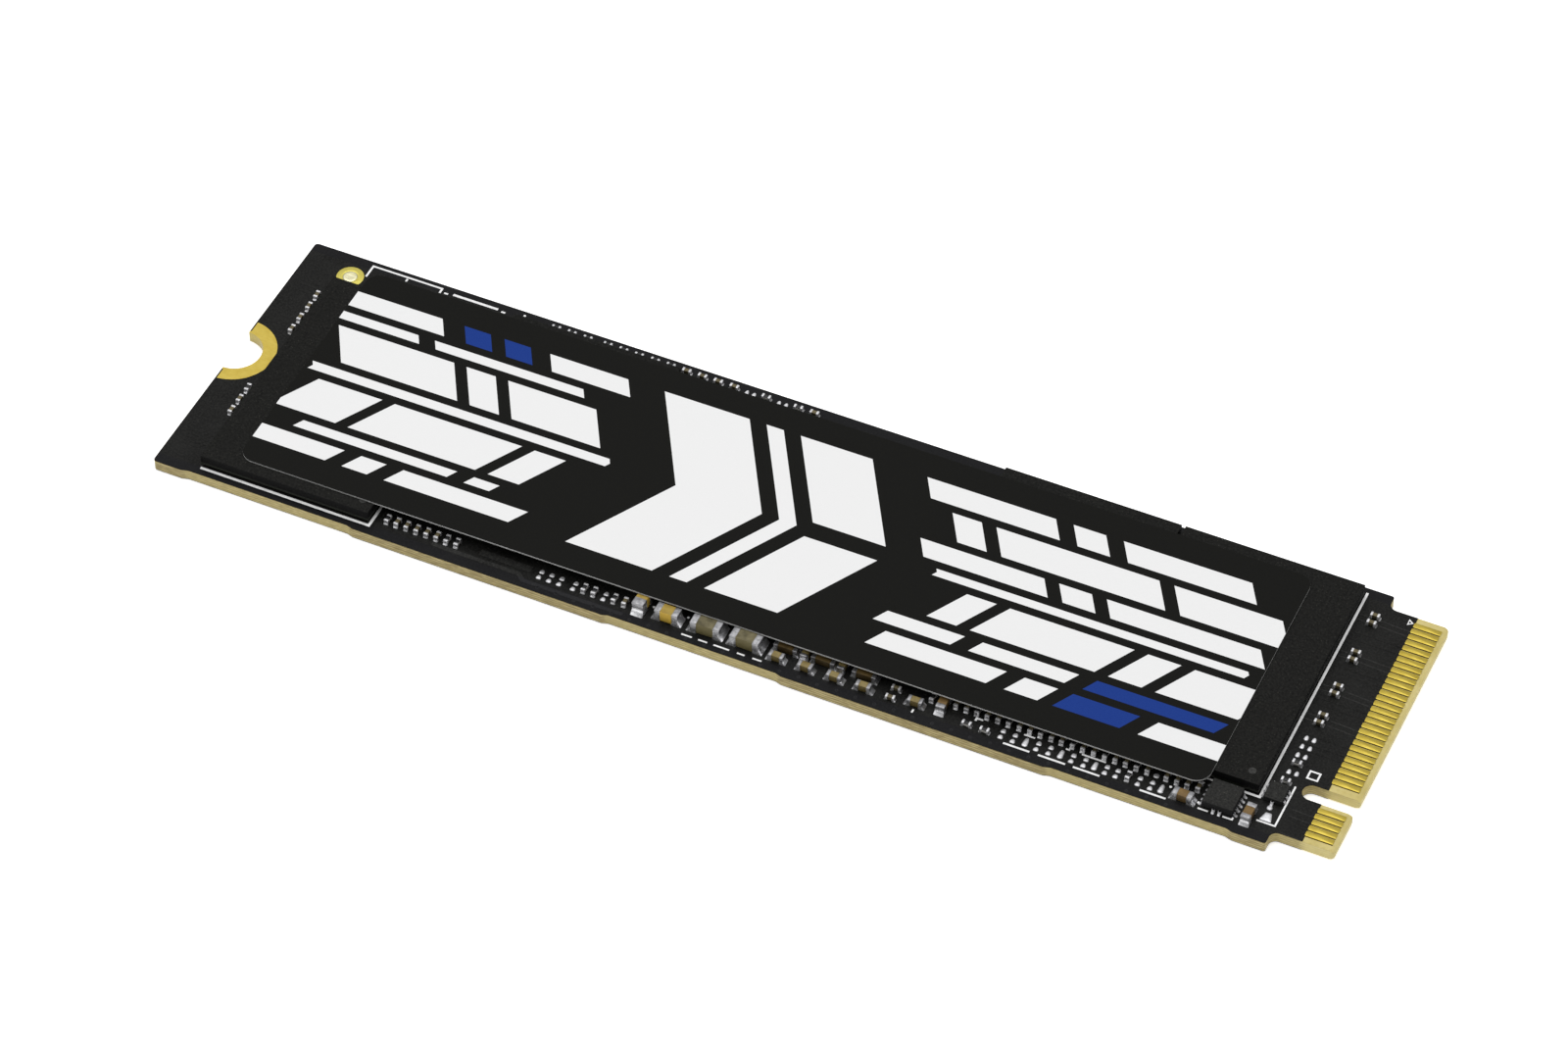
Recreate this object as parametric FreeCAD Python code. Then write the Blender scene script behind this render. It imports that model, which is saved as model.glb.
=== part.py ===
import FreeCAD, Part
import math
import os

# Solid state drive: a bare M.2 2280 card with its key at pins 59 to 66, parts on its top side only.
# Millimetres. The layout is written from the corner between the screw-notch end and the near long
# edge: X runs along the card to its edge connector, Y across it to the far edge, Z up from the
# underside. save() then moves every piece so that the origin is under the middle of the card.

V = FreeCAD.Vector
SAME_PLACE = 1e-6

# ---------------------------------------------------------------- card
CARD_LENGTH = 80.0
CARD_WIDTH = 22.0
CARD_THICKNESS = 0.8
SKIN = 0.03                      # solder mask, contacts and rings: one thickness, so they lie flush
CORE_BOTTOM = SKIN
CORE_TOP = CARD_THICKNESS - SKIN
SHOULDER_X = 76.0                # where the card narrows to its tongue
TONGUE_WIDTH = 19.85
TONGUE_Y = (CARD_WIDTH - TONGUE_WIDTH) / 2
MASK_END_X = 77.95               # the tongue is bare laminate beyond this
END_CORNER_R = 0.25
SHOULDER_CORNER_R = 0.15
SHOULDER_INNER_R = 0.5
TONGUE_CORNER_R = 0.2
BEVEL_LENGTH = 0.3               # lead-in along the tongue's end, on both faces
BEVEL_DEPTH = 0.14

# shallow recesses left by the panel's break-out tabs in the near long edge
TAB_FIRST_X = 2.5
TAB_PITCH = 29.75
TAB_COUNT = 3
TAB_LENGTH = 11.4
TAB_DEPTH = 0.13
TAB_RAMP = 0.45

# key slot, 6.125 mm from the card's centre line
KEY_OFFSET = 6.125
KEY_WIDTH = 1.2
KEY_DEPTH = 3.5
KEY_MOUTH_R = 0.12
KEY_Y = CARD_WIDTH / 2 - KEY_OFFSET

# half-round screw notch with its plated wall and ring
NOTCH_R = 1.75
PLATING = 0.16                   # drawn thicker than a real plating, which is about 0.04
RING_R = 2.8
RING_X = -0.12                   # the mask's opening round the ring sits a little off the notch's axis
RING_START_X = 0.1

# contacts: odd pins on top, even pins underneath, 0.5 mm apart
PIN_PITCH = 0.5
CONTACT_WIDTH = 0.35
CONTACT_END_X = CARD_LENGTH - BEVEL_LENGTH
PIN_1_Y = CARD_WIDTH / 2 + 9.25
PIN_2_Y = CARD_WIDTH / 2 + 9.0
TOP_PINS = list(range(1, 58, 2)) + list(range(67, 76, 2))
BOTTOM_PINS = list(range(2, 59, 2)) + list(range(68, 75, 2))

# round bare pad at the far corner of the notch end
GROUND_PAD_X = 3.55
GROUND_PAD_Y = 20.1
GROUND_PAD_R = 0.92
GROUND_RIDGE_R = 0.62
GROUND_RIDGE_WIDTH = 0.08
GROUND_RIDGE_HEIGHT = 0.02

# ---------------------------------------------------------------- packages
PACKAGE_HEIGHT = 0.9             # every package under the label has this height over the card
BALL_HEIGHT = 0.18
BALL_R = 0.22
BALL_FOOT = 0.75                 # a ball's radius where it meets the card, as a share of its own
SUBSTRATE_HEIGHT = 0.17
MOULD_HEIGHT = PACKAGE_HEIGHT - BALL_HEIGHT - SUBSTRATE_HEIGHT
DIMPLE_R = 0.27                  # pin 1 mark in a package's top
DIMPLE_DEPTH = 0.03

MEMORY_LENGTH = 12.0
MEMORY_WIDTH = 18.0
MEMORY_CORNERS = [(3.05, 0.87), (15.37, 2.75), (49.95, 3.37), (62.22, 3.37)]
MEMORY_BALL_PITCH = 1.0
MEMORY_BALL_ROWS = 16
MEMORY_BALL_COLUMNS = 4          # on each side of a clear middle strip
MEMORY_CLEAR_STRIP = 3.0
MEMORY_DIMPLE_IN = (0.8, 0.93)   # from the package's right edge and near edge

CACHE_CORNER = (28.1, 6.0)
CACHE_LENGTH = 7.5
CACHE_WIDTH = 13.3
CACHE_BALL_PITCH = 0.8
CACHE_BALL_ROWS = 14
CACHE_BALL_COLUMNS = 3
CACHE_CLEAR_STRIP = 2.4

CONTROLLER_CORNER = (36.8, 7.2)
CONTROLLER_SIDE = 12.0
CONTROLLER_BALL_HEIGHT = 0.15
CONTROLLER_BALL_R = 0.18
CONTROLLER_BALL_PITCH = 0.8
CONTROLLER_BALL_ROWS = 14
CONTROLLER_SUBSTRATE = 0.25
DIE_LENGTH = 6.2
DIE_WIDTH = 7.4
DIE_HEIGHT = 0.25
COMPOUND_HEIGHT = 0.05
LID_MARGIN = 0.3                 # the lid stands in from the substrate's edge
LID_WALL = 1.3
LID_CORNER_R = 0.5

# leadless power and logic chips: corner x, corner y, length, width, height, lead pitch, then the
# leads on each of its left and right sides, and on each of its near and far sides
POWER_MANAGER = (39.6, 2.9, 4.0, 4.0, 0.75, 0.5, 6, 6)
LOAD_SWITCH = (71.45, 1.05, 2.0, 2.0, 0.6, 0.4, 5, 2)
LOGIC_CHIP = (74.62, 3.1, 1.2, 1.4, 0.4, 0.4, 3, 3)
LEAD_WIDTH = 0.2
LEAD_LENGTH = 0.35
LEAD_HEIGHT = 0.2
LEAD_PROUD = 0.1

INDUCTOR_SIZE = (2.5, 2.0, 0.85)
INDUCTOR_END = 0.5
INDUCTOR_CENTRES = [(30.0, 4.1), (33.0, 4.1), (36.6, 4.9)]

CRYSTAL_CENTRE = (47.6, 5.2)
CRYSTAL_SIZE = (2.0, 1.6)
CRYSTAL_BASE = 0.3
CRYSTAL_LID = 0.2
CRYSTAL_LID_MARGIN = 0.12

# ---------------------------------------------------------------- chip parts
JOINT = 0.03                     # solder between the card and a chip part's ends
JOINT_OUT = 0.1                  # how far a joint reaches past the end of its part
# length, width, height, length of each metal end
SIZE_0201 = (0.6, 0.3, 0.3, 0.15)
SIZE_0402 = (1.0, 0.5, 0.5, 0.25)
SIZE_0402_TALL = (1.3, 0.62, 0.58, 0.35)
SIZE_0603 = (1.6, 0.8, 0.85, 0.42)
SIZE_0603_BROAD = (1.6, 0.8, 0.85, 0.6)
SIZE_0603_LOW = (1.6, 0.8, 0.5, 0.3)
SIZE_0805 = (2.0, 1.25, 0.86, 0.45)
LIE_X = 0                        # the part's length lies along X
LIE_Y = 1

# rows of evenly spaced parts: first middle, pitch, count, and the row's own Y (or a column's own X)
NOTCH_UPPER_COLUMN = (14.05, 1.15, 4, 2.5)
NOTCH_LOWER_COLUMN = (5.9, 1.1, 3, 2.5)
NEAR_ROW = (16.1, 0.7, 8, 1.55)
MIDDLE_ROW = (29.27, 0.7, 6, 1.44)
HIDDEN_ROW = (54.9, 0.7, 19, 2.37)
HIDDEN_ROW_END = (68.75, 0.68, 4, 2.35)
NEAR_0402_ROW = (43.3, 1.95, 4, 1.15)
FAR_ROW_Y = 21.28                # the row of chip parts along the far edge, in two stretches
FAR_ROW_START = (18.1, 1.15, 3, FAR_ROW_Y)
FAR_ROW_REST = (21.85, 1.136, 14, FAR_ROW_Y)

# coupling capacitors stand two by two beside the contacts
PAIR_X = 75.5
PAIR_MIDDLES = (10.5, 13.1, 16.17, 19.5)
PAIR_HALF_GAP = 0.33

# parts that stand alone or in small groups, by size and by the way they lie
SMALL_CAPACITORS_X = [(50.95, 1.12), (51.0, 1.95)]
SMALL_RESISTORS_X = [(56.05, 1.1), (57.25, 1.1), (75.47, 6.6), (75.35, 5.0)]
SMALL_RESISTORS_Y = [(66.6, 1.36), (53.35, 2.2)]
MEDIUM_CAPACITORS_X = [(52.55, 1.35)]
MEDIUM_CAPACITORS_Y = [(47.3, 2.2), (44.85, 2.2)]
TALL_CAPACITORS_X = [(70.2, 1.17)]
TALL_CAPACITORS_Y = [(54.15, 1.95), (74.3, 1.55)]
LOW_CAPACITORS_X = [(43.55, 2.2), (46.1, 2.2), (48.85, 2.2)]
LARGE_CAPACITORS_X = [(35.75, 1.42)]
LARGE_CAPACITORS_Y = [(33.85, 1.8)]
LARGEST_CAPACITORS_X = [(38.4, 1.66), (41.1, 1.66)]

# tinned pads that carry no part, two for each missing part
SOLDER_HEIGHT = 0.06
BARE_PAD = (0.34, 0.42)
BARE_PAD_GAP = 0.5               # between the middles of one part's two pads
BARE_UPRIGHT_ROW = (26.9, 0.7, 3, 1.44)
BARE_UPRIGHT = [(29.27, 1.44), (31.37, 1.44)]
BARE_UPRIGHT_Y = 1.36
BARE_UPRIGHT_X = (58.3, 59.1, 60.65, 61.45, 62.95, 63.75, 65.15, 65.85, 67.3, 68.1)
BARE_FLAT_COLUMN = (5.87, 0.735, 5, 75.47)
BARE_FLAT_TAKEN = 1              # the place in that column where a resistor stands
BARE_FLAT_X = (32.07, 34.35)
BARE_BAR = (0.42, 0.72)
BARE_BAR_X = (59.87, 62.2, 64.42, 68.75)
BARE_WIDE_PAD = (75.33, 1.95, 0.8, 0.7)
BARE_ROUND_PADS = [(75.22, 2.68, 0.18), (68.1, 2.2, 0.19)]

# ---------------------------------------------------------------- printing and label
INK = 0.02
LINE = 0.19
FRAME_LINE = 0.17
MARK_LINE = 0.14
THIN_LINE = 0.12

# printed lines: the width, then the points that each goes through
PRINTED_LINES = [
    (LINE, [(3.2, 0.68), (15.18, 0.68), (15.18, 3.4)]),
    (LINE, [(10.6, 21.4), (13.7, 21.4)]),
    (FRAME_LINE, [(73.3, 3.24), (74.36, 3.24), (74.36, 21.5)]),
    (MARK_LINE, [(4.5, 20.6), (4.5, 21.6), (9.6, 21.6), (9.6, 21.25)]),
    (MARK_LINE, [(7.1, 21.28), (7.1, 21.4)]),
    (MARK_LINE, [(56.4, 1.75), (56.4, 1.9), (56.75, 1.9)]),
    (THIN_LINE, [(74.9, 1.48), (76.03, 1.48), (76.03, 4.85)]),
    (THIN_LINE, [(52.6, 0.72), (52.6, 0.88)]),
    (THIN_LINE, [(71.35, 0.88), (71.9, 0.88)]),
    (THIN_LINE, [(72.95, 0.88), (73.5, 0.88), (73.5, 1.0)]),
    (THIN_LINE, [(76.4, 5.85), (77.05, 5.85), (77.05, 6.45), (76.4, 6.45), (76.4, 5.85)]),
]
# rows of printed dashes: the row's Y and width, then the two ends of each dash
PRINTED_DASHES = [
    (0.62, THIN_LINE, [(37.1, 37.7), (38.25, 38.75), (39.3, 40.25), (40.9, 41.3), (41.95, 42.45)]),
    (0.74, MARK_LINE, [(58.7, 60.3), (61.0, 62.65), (63.3, 64.9), (67.65, 69.2)]),
    (1.9, THIN_LINE, [(59.6, 60.2), (62.35, 62.5), (63.4, 64.85)]),
    (3.3, THIN_LINE, [(70.95, 71.25)]),
    (21.3, MARK_LINE, [(9.95, 10.1), (14.15, 14.3)]),
]
PRINTED_DOTS = [(15.65, 21.6), (34.53, 1.94), (36.85, 2.03), (71.18, 1.3), (74.72, 4.72), (69.2, 1.75),
                (70.85, 2.9)]
DOT_R = 0.09

# open triangle that points at the first contact: its three corners, and the inner three
PIN_1_OUTER = [(77.5, 20.62), (77.5, 20.08), (77.86, 20.35)]
PIN_1_INNER = [(77.56, 20.48), (77.56, 20.22), (77.73, 20.35)]

LABEL_START = (5.25, 1.85)
LABEL_LENGTH = 66.0
LABEL_WIDTH = 18.5
LABEL_CORNER_R = 1.0
LABEL_TURN = 0.25                # degrees: the label was laid a little askew
LABEL_LAYERS = [("label_adhesive", 0.02), ("label_foil", 0.07), ("label_film", 0.02)]


# ================================================================ shape helpers
def block(x, y, z, length, width, height):
    """A box from its lowest corner."""
    return Part.makeBox(length, width, height, V(x, y, z))


def centred(x, y, z, length, width, height):
    """A box from the middle of its underside."""
    return block(x - length / 2, y - width / 2, z, length, width, height)


def disc(x, y, z, radius, height):
    return Part.makeCylinder(radius, height, V(x, y, z))


def fused(shapes):
    """One solid from shapes that touch."""
    shapes = list(shapes)
    whole = shapes[0]
    if len(shapes) > 1:
        whole = whole.multiFuse(shapes[1:]).removeSplitter()
    return whole


def corner_edges(shape, x, y):
    """The upright edges of a shape at one corner of its plan."""
    found = []
    for edge in shape.Edges:
        ends = [v.Point for v in edge.Vertexes]
        if len(ends) == 2 and all(math.hypot(p.x - x, p.y - y) < SAME_PLACE for p in ends):
            found.append(edge)
    return found


def rounded(shape, corners, radius):
    edges = [edge for x, y in corners for edge in corner_edges(shape, x, y)]
    return shape.makeFillet(radius, edges)


def save(node, shape):
    """Writes one node, moved so that the origin is under the middle of the card."""
    solids = shape if isinstance(shape, list) else shape.Solids
    whole = solids[0] if len(solids) == 1 else Part.makeCompound(solids)
    whole = whole.copy()
    whole.translate(V(-CARD_LENGTH / 2, -CARD_WIDTH / 2, 0))
    assert whole.isValid(), node
    whole.exportStep(os.path.join("parts", node + ".step"))


# ================================================================ card
def plan(z, height, end_x=CARD_LENGTH):
    """The card's outline with its tongue, tab recesses and key slot, from z upwards."""
    body = block(0, 0, z, SHOULDER_X, CARD_WIDTH, height)
    tongue = block(SHOULDER_X, TONGUE_Y, z, CARD_LENGTH - SHOULDER_X, TONGUE_WIDTH, height)
    shape = fused([body, tongue])
    far_y = CARD_WIDTH - TONGUE_Y
    shape = rounded(shape, [(SHOULDER_X, TONGUE_Y), (SHOULDER_X, far_y)], SHOULDER_INNER_R)
    shape = rounded(shape, [(SHOULDER_X, 0), (SHOULDER_X, CARD_WIDTH)], SHOULDER_CORNER_R)
    shape = rounded(shape, [(CARD_LENGTH, TONGUE_Y), (CARD_LENGTH, far_y)], TONGUE_CORNER_R)
    shape = rounded(shape, [(0, 0), (0, CARD_WIDTH)], END_CORNER_R)
    for i in range(TAB_COUNT):
        shape = shape.cut(tab_recess(TAB_FIRST_X + i * TAB_PITCH, z, height))
    key = block(CARD_LENGTH - KEY_DEPTH + KEY_WIDTH / 2, KEY_Y - KEY_WIDTH / 2, z,
                KEY_DEPTH, KEY_WIDTH, height)
    key_end = disc(CARD_LENGTH - KEY_DEPTH + KEY_WIDTH / 2, KEY_Y, z, KEY_WIDTH / 2, height)
    shape = shape.cut(fused([key, key_end]))
    mouth = [(CARD_LENGTH, KEY_Y - KEY_WIDTH / 2), (CARD_LENGTH, KEY_Y + KEY_WIDTH / 2)]
    shape = rounded(shape, mouth, KEY_MOUTH_R)
    if end_x < CARD_LENGTH:
        shape = shape.common(block(0, 0, z, end_x, CARD_WIDTH, height))
    return shape


def tab_recess(x, z, height):
    """A shallow recess with sloping ends in the near edge."""
    points = [V(x - TAB_RAMP, 0, z), V(x, TAB_DEPTH, z), V(x + TAB_LENGTH, TAB_DEPTH, z),
              V(x + TAB_LENGTH + TAB_RAMP, 0, z)]
    face = Part.Face(Part.makePolygon(points + points[:1]))
    return face.extrude(V(0, 0, height))


def circuit_board():
    """The laminate core, with a lead-in on both faces of the tongue's end."""
    core = plan(CORE_BOTTOM, CORE_TOP - CORE_BOTTOM)
    core = core.cut(disc(0, CARD_WIDTH / 2, 0, NOTCH_R + PLATING, CARD_THICKNESS))
    for z, depth in ((CORE_TOP, -BEVEL_DEPTH), (CORE_BOTTOM, BEVEL_DEPTH)):
        points = [V(CONTACT_END_X, 0, z), V(CARD_LENGTH, 0, z), V(CARD_LENGTH, 0, z + depth)]
        wedge = Part.Face(Part.makePolygon(points + points[:1])).extrude(V(0, CARD_WIDTH, 0))
        core = core.cut(wedge)
    return core


def solder_mask(z, openings):
    """The dark skin of one face, clear of the ring and of the tongue's contacts."""
    mask = plan(z, SKIN, MASK_END_X)
    ring = disc(RING_X, CARD_WIDTH / 2, z, RING_R, SKIN)
    ring = ring.common(block(RING_START_X, 0, z, RING_R, CARD_WIDTH, SKIN))
    hole = disc(0, CARD_WIDTH / 2, z, NOTCH_R + PLATING, SKIN)
    for opening in [ring, hole] + openings:
        mask = mask.cut(opening)
    return mask


def notch_plating():
    """The gold rings of both faces, joined through the notch by its plated wall."""
    middle = CARD_WIDTH / 2
    wall = disc(0, middle, 0, NOTCH_R + PLATING, CARD_THICKNESS)
    rings = []
    for z in (0, CORE_TOP):
        ring = disc(RING_X, middle, z, RING_R, SKIN)
        rings.append(ring.common(block(RING_START_X, 0, z, RING_R, CARD_WIDTH, SKIN)))
    half = block(0, 0, 0, RING_R, CARD_WIDTH, CARD_THICKNESS)
    shape = fused([wall.common(half)] + rings)
    return shape.cut(disc(0, middle, 0, NOTCH_R, CARD_THICKNESS))


def contacts(pins, first_pin, first_y, z):
    length = CONTACT_END_X - MASK_END_X
    middle_x = MASK_END_X + length / 2
    pads = []
    for pin in pins:
        y = first_y - (pin - first_pin) / 2 * PIN_PITCH
        pads.append(centred(middle_x, y, z, length, CONTACT_WIDTH, SKIN))
    return pads


def ground_pad():
    """A round bare pad with a low ridge."""
    pad = disc(GROUND_PAD_X, GROUND_PAD_Y, CORE_TOP, GROUND_PAD_R, SKIN)
    ridge = disc(GROUND_PAD_X, GROUND_PAD_Y, CARD_THICKNESS, GROUND_RIDGE_R, GROUND_RIDGE_HEIGHT)
    inside = disc(GROUND_PAD_X, GROUND_PAD_Y, CARD_THICKNESS,
                  GROUND_RIDGE_R - GROUND_RIDGE_WIDTH, GROUND_RIDGE_HEIGHT)
    return fused([pad, ridge.cut(inside)])


# ================================================================ packages
def ball(x, y, z, radius, height):
    """A reflowed solder ball: flat on the card and on its package, widest halfway up."""
    foot = radius * BALL_FOOT
    points = [V(x, y, z), V(x + foot, y, z), V(x + radius, y, z + height / 2),
              V(x + foot, y, z + height), V(x, y, z + height)]
    half = Part.Face(Part.makePolygon(points + points[:1]))
    return half.revolve(V(x, y, z), V(0, 0, 1), 360)


def ball_field(corner, length, width, pitch, rows, columns, strip):
    """Rows of balls in two fields, either side of a clear strip along the package's middle."""
    middle_x = corner[0] + length / 2
    middle_y = corner[1] + width / 2
    balls = []
    for row in range(rows):
        y = middle_y + (row - (rows - 1) / 2) * pitch
        for column in range(columns):
            out = strip / 2 + column * pitch
            for x in (middle_x - out, middle_x + out):
                balls.append(ball(x, y, CARD_THICKNESS, BALL_R, BALL_HEIGHT))
    return balls


def moulded_package(name, number, corner, length, width, pitch, rows, columns, strip, dimple):
    """Balls, substrate and moulded body of a memory chip, as three nodes."""
    x, y = corner
    substrate_z = CARD_THICKNESS + BALL_HEIGHT
    mould_z = substrate_z + SUBSTRATE_HEIGHT
    body = block(x, y, mould_z, length, width, MOULD_HEIGHT)
    mark = disc(x + length - dimple[0], y + dimple[1], mould_z + MOULD_HEIGHT - DIMPLE_DEPTH,
                DIMPLE_R, DIMPLE_DEPTH)
    save(name + "_body" + number, body.cut(mark))
    save(name + "_substrate" + number, block(x, y, substrate_z, length, width, SUBSTRATE_HEIGHT))
    save(name + "_balls" + number, ball_field(corner, length, width, pitch, rows, columns, strip))


def controller():
    """The main chip: balls, substrate, bare die, heat compound and metal lid."""
    x, y = CONTROLLER_CORNER
    side = CONTROLLER_SIDE
    middle = V(x + side / 2, y + side / 2, 0)
    substrate_z = CARD_THICKNESS + CONTROLLER_BALL_HEIGHT
    die_z = substrate_z + CONTROLLER_SUBSTRATE
    cavity = DIE_HEIGHT + COMPOUND_HEIGHT
    lid_height = CARD_THICKNESS + PACKAGE_HEIGHT - die_z

    rows = range(CONTROLLER_BALL_ROWS)
    offset = (CONTROLLER_BALL_ROWS - 1) / 2
    balls = [ball(middle.x + (i - offset) * CONTROLLER_BALL_PITCH,
                  middle.y + (j - offset) * CONTROLLER_BALL_PITCH,
                  CARD_THICKNESS, CONTROLLER_BALL_R, CONTROLLER_BALL_HEIGHT)
             for i in rows for j in rows]
    save("controller_balls", balls)
    save("controller_substrate", block(x, y, substrate_z, side, side, CONTROLLER_SUBSTRATE))
    save("controller_die", centred(middle.x, middle.y, die_z, DIE_LENGTH, DIE_WIDTH, DIE_HEIGHT))
    save("controller_heat_compound", centred(middle.x, middle.y, die_z + DIE_HEIGHT,
                                             DIE_LENGTH, DIE_WIDTH, COMPOUND_HEIGHT))

    lid_side = side - 2 * LID_MARGIN
    near = (x + LID_MARGIN, y + LID_MARGIN)
    far = (near[0] + lid_side, near[1] + lid_side)
    lid = block(near[0], near[1], die_z, lid_side, lid_side, lid_height)
    lid = rounded(lid, [near, far, (near[0], far[1]), (far[0], near[1])], LID_CORNER_R)
    hollow = lid_side - 2 * LID_WALL
    save("controller_lid", lid.cut(centred(middle.x, middle.y, die_z, hollow, hollow, cavity)))


def leadless_chip(name, spec):
    """A flat chip whose short leads show at its four sides."""
    x, y, length, width, height, pitch, side_count, end_count = spec
    reach = LEAD_LENGTH + LEAD_PROUD
    middle_in = LEAD_LENGTH - reach / 2       # from the chip's side to a lead's middle
    clear = length / 2 - LEAD_LENGTH - LEAD_WIDTH / 2
    leads = []
    for i in range(side_count):
        along_y = y + width / 2 + (i - (side_count - 1) / 2) * pitch
        for lead_x in (x + middle_in, x + length - middle_in):
            leads.append(centred(lead_x, along_y, CARD_THICKNESS, reach, LEAD_WIDTH, LEAD_HEIGHT))
    for i in range(end_count):
        offset = (i - (end_count - 1) / 2) * pitch
        if abs(offset) < clear:
            along_x = x + length / 2 + offset
            for lead_y in (y + middle_in, y + width - middle_in):
                leads.append(centred(along_x, lead_y, CARD_THICKNESS, LEAD_WIDTH, reach, LEAD_HEIGHT))
    body = block(x, y, CARD_THICKNESS, length, width, height)
    save(name + "_body", body.cut(Part.makeCompound(leads)))
    save(name + "_leads", leads)


def inductors():
    length, width, height = INDUCTOR_SIZE
    cores = []
    ends = []
    for x, y in INDUCTOR_CENTRES:
        cores.append(centred(x, y, CARD_THICKNESS, length - 2 * INDUCTOR_END, width, height))
        for side in (-1, 1):
            end_x = x + side * (length - INDUCTOR_END) / 2
            ends.append(centred(end_x, y, CARD_THICKNESS, INDUCTOR_END, width, height))
    save("inductor_cores", cores)
    save("inductor_ends", ends)


def crystal():
    x, y = CRYSTAL_CENTRE
    length, width = CRYSTAL_SIZE
    margin = 2 * CRYSTAL_LID_MARGIN
    save("crystal_base", centred(x, y, CARD_THICKNESS, length, width, CRYSTAL_BASE))
    save("crystal_lid", centred(x, y, CARD_THICKNESS + CRYSTAL_BASE,
                                length - margin, width - margin, CRYSTAL_LID))


# ================================================================ chip parts
def row(spec):
    """The middles of evenly spaced parts along X."""
    first, pitch, count, y = spec
    return [(first + i * pitch, y) for i in range(count)]


def column(spec):
    """The middles of evenly spaced parts along Y."""
    first, pitch, count, x = spec
    return [(x, first + i * pitch) for i in range(count)]


def chip(x, y, lie, size):
    """A chip part's body, its two metal ends and the two joints under them."""
    length, width, height, end = size
    z = CARD_THICKNESS + JOINT

    def piece(offset, z0, part_length, part_height):
        if lie == LIE_X:
            return centred(x + offset, y, z0, part_length, width, part_height)
        return centred(x, y + offset, z0, width, part_length, part_height)

    body = piece(0, z, length - 2 * end, height)
    ends = [piece(side * (length - end) / 2, z, end, height) for side in (-1, 1)]
    joint_middle = (length - end + JOINT_OUT) / 2
    joints = [piece(side * joint_middle, CARD_THICKNESS, end + JOINT_OUT, JOINT) for side in (-1, 1)]
    return body, ends, joints


def chip_parts():
    """Every chip part as (kind, middles, which way it lies, size)."""
    upper = column(NOTCH_UPPER_COLUMN)
    lower = column(NOTCH_LOWER_COLUMN)
    near = row(NEAR_ROW)
    middle = row(MIDDLE_ROW)
    hidden = row(HIDDEN_ROW)
    hidden_end = row(HIDDEN_ROW_END)
    far = row(FAR_ROW_START) + row(FAR_ROW_REST)
    pairs = [(PAIR_X, y + side) for y in PAIR_MIDDLES for side in (-PAIR_HALF_GAP, PAIR_HALF_GAP)]

    capacitors_y = upper + lower[:2] + near[1:6] + middle[5:] + hidden[0::3] + hidden[1::3]
    capacitors_y += hidden_end
    capacitors_x = pairs + far[8:12] + far[16:] + SMALL_CAPACITORS_X
    resistors_y = lower[2:] + near[:1] + near[6:] + middle[1:3] + middle[4:5] + hidden[2::3]
    resistors_x = far[:8] + far[13:14] + far[15:16] + SMALL_RESISTORS_X
    return [
        ("small_capacitor", capacitors_y, LIE_Y, SIZE_0201),
        ("small_capacitor", capacitors_x, LIE_X, SIZE_0201),
        ("small_resistor", resistors_y + SMALL_RESISTORS_Y, LIE_Y, SIZE_0201),
        ("small_resistor", resistors_x, LIE_X, SIZE_0201),
        ("medium_capacitor", row(NEAR_0402_ROW) + MEDIUM_CAPACITORS_X, LIE_X, SIZE_0402),
        ("medium_capacitor", MEDIUM_CAPACITORS_Y, LIE_Y, SIZE_0402),
        ("medium_capacitor", TALL_CAPACITORS_X, LIE_X, SIZE_0402_TALL),
        ("medium_capacitor", TALL_CAPACITORS_Y, LIE_Y, SIZE_0402_TALL),
        ("low_capacitor", LOW_CAPACITORS_X, LIE_X, SIZE_0603_LOW),
        ("large_capacitor", LARGE_CAPACITORS_X, LIE_X, SIZE_0603),
        ("large_capacitor", LARGE_CAPACITORS_Y, LIE_Y, SIZE_0603_BROAD),
        ("large_capacitor", LARGEST_CAPACITORS_X, LIE_X, SIZE_0805),
    ]


def place_chip_parts():
    bodies = {}
    ends = {}
    joints = []
    for kind, middles, lie, size in chip_parts():
        for x, y in middles:
            body, metal, solder = chip(x, y, lie, size)
            bodies.setdefault(kind, []).append(body)
            ends.setdefault(kind, []).extend(metal)
            joints.extend(solder)
    for kind in bodies:
        save(kind + "_bodies", bodies[kind])
        save(kind + "_ends", ends[kind])
    save("solder_joints", joints)


def bare_pads():
    """Tinned pads that carry no part."""
    length, width = BARE_PAD
    upright = row(BARE_UPRIGHT_ROW) + BARE_UPRIGHT + [(x, BARE_UPRIGHT_Y) for x in BARE_UPRIGHT_X]
    flat = column(BARE_FLAT_COLUMN)
    del flat[BARE_FLAT_TAKEN]
    flat += [(x, FAR_ROW_Y) for x in BARE_FLAT_X]
    pads = []
    for side in (-BARE_PAD_GAP / 2, BARE_PAD_GAP / 2):
        for x, y in upright:
            pads.append(centred(x, y + side, CARD_THICKNESS, width, length, SOLDER_HEIGHT))
        for x, y in flat:
            pads.append(centred(x + side, y, CARD_THICKNESS, length, width, SOLDER_HEIGHT))
    for x in BARE_BAR_X:
        pads.append(centred(x, BARE_UPRIGHT_Y, CARD_THICKNESS, *BARE_BAR, SOLDER_HEIGHT))
    x, y, length, width = BARE_WIDE_PAD
    pads.append(centred(x, y, CARD_THICKNESS, length, width, SOLDER_HEIGHT))
    pads += [disc(x, y, CARD_THICKNESS, radius, SOLDER_HEIGHT) for x, y, radius in BARE_ROUND_PADS]
    return pads


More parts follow.
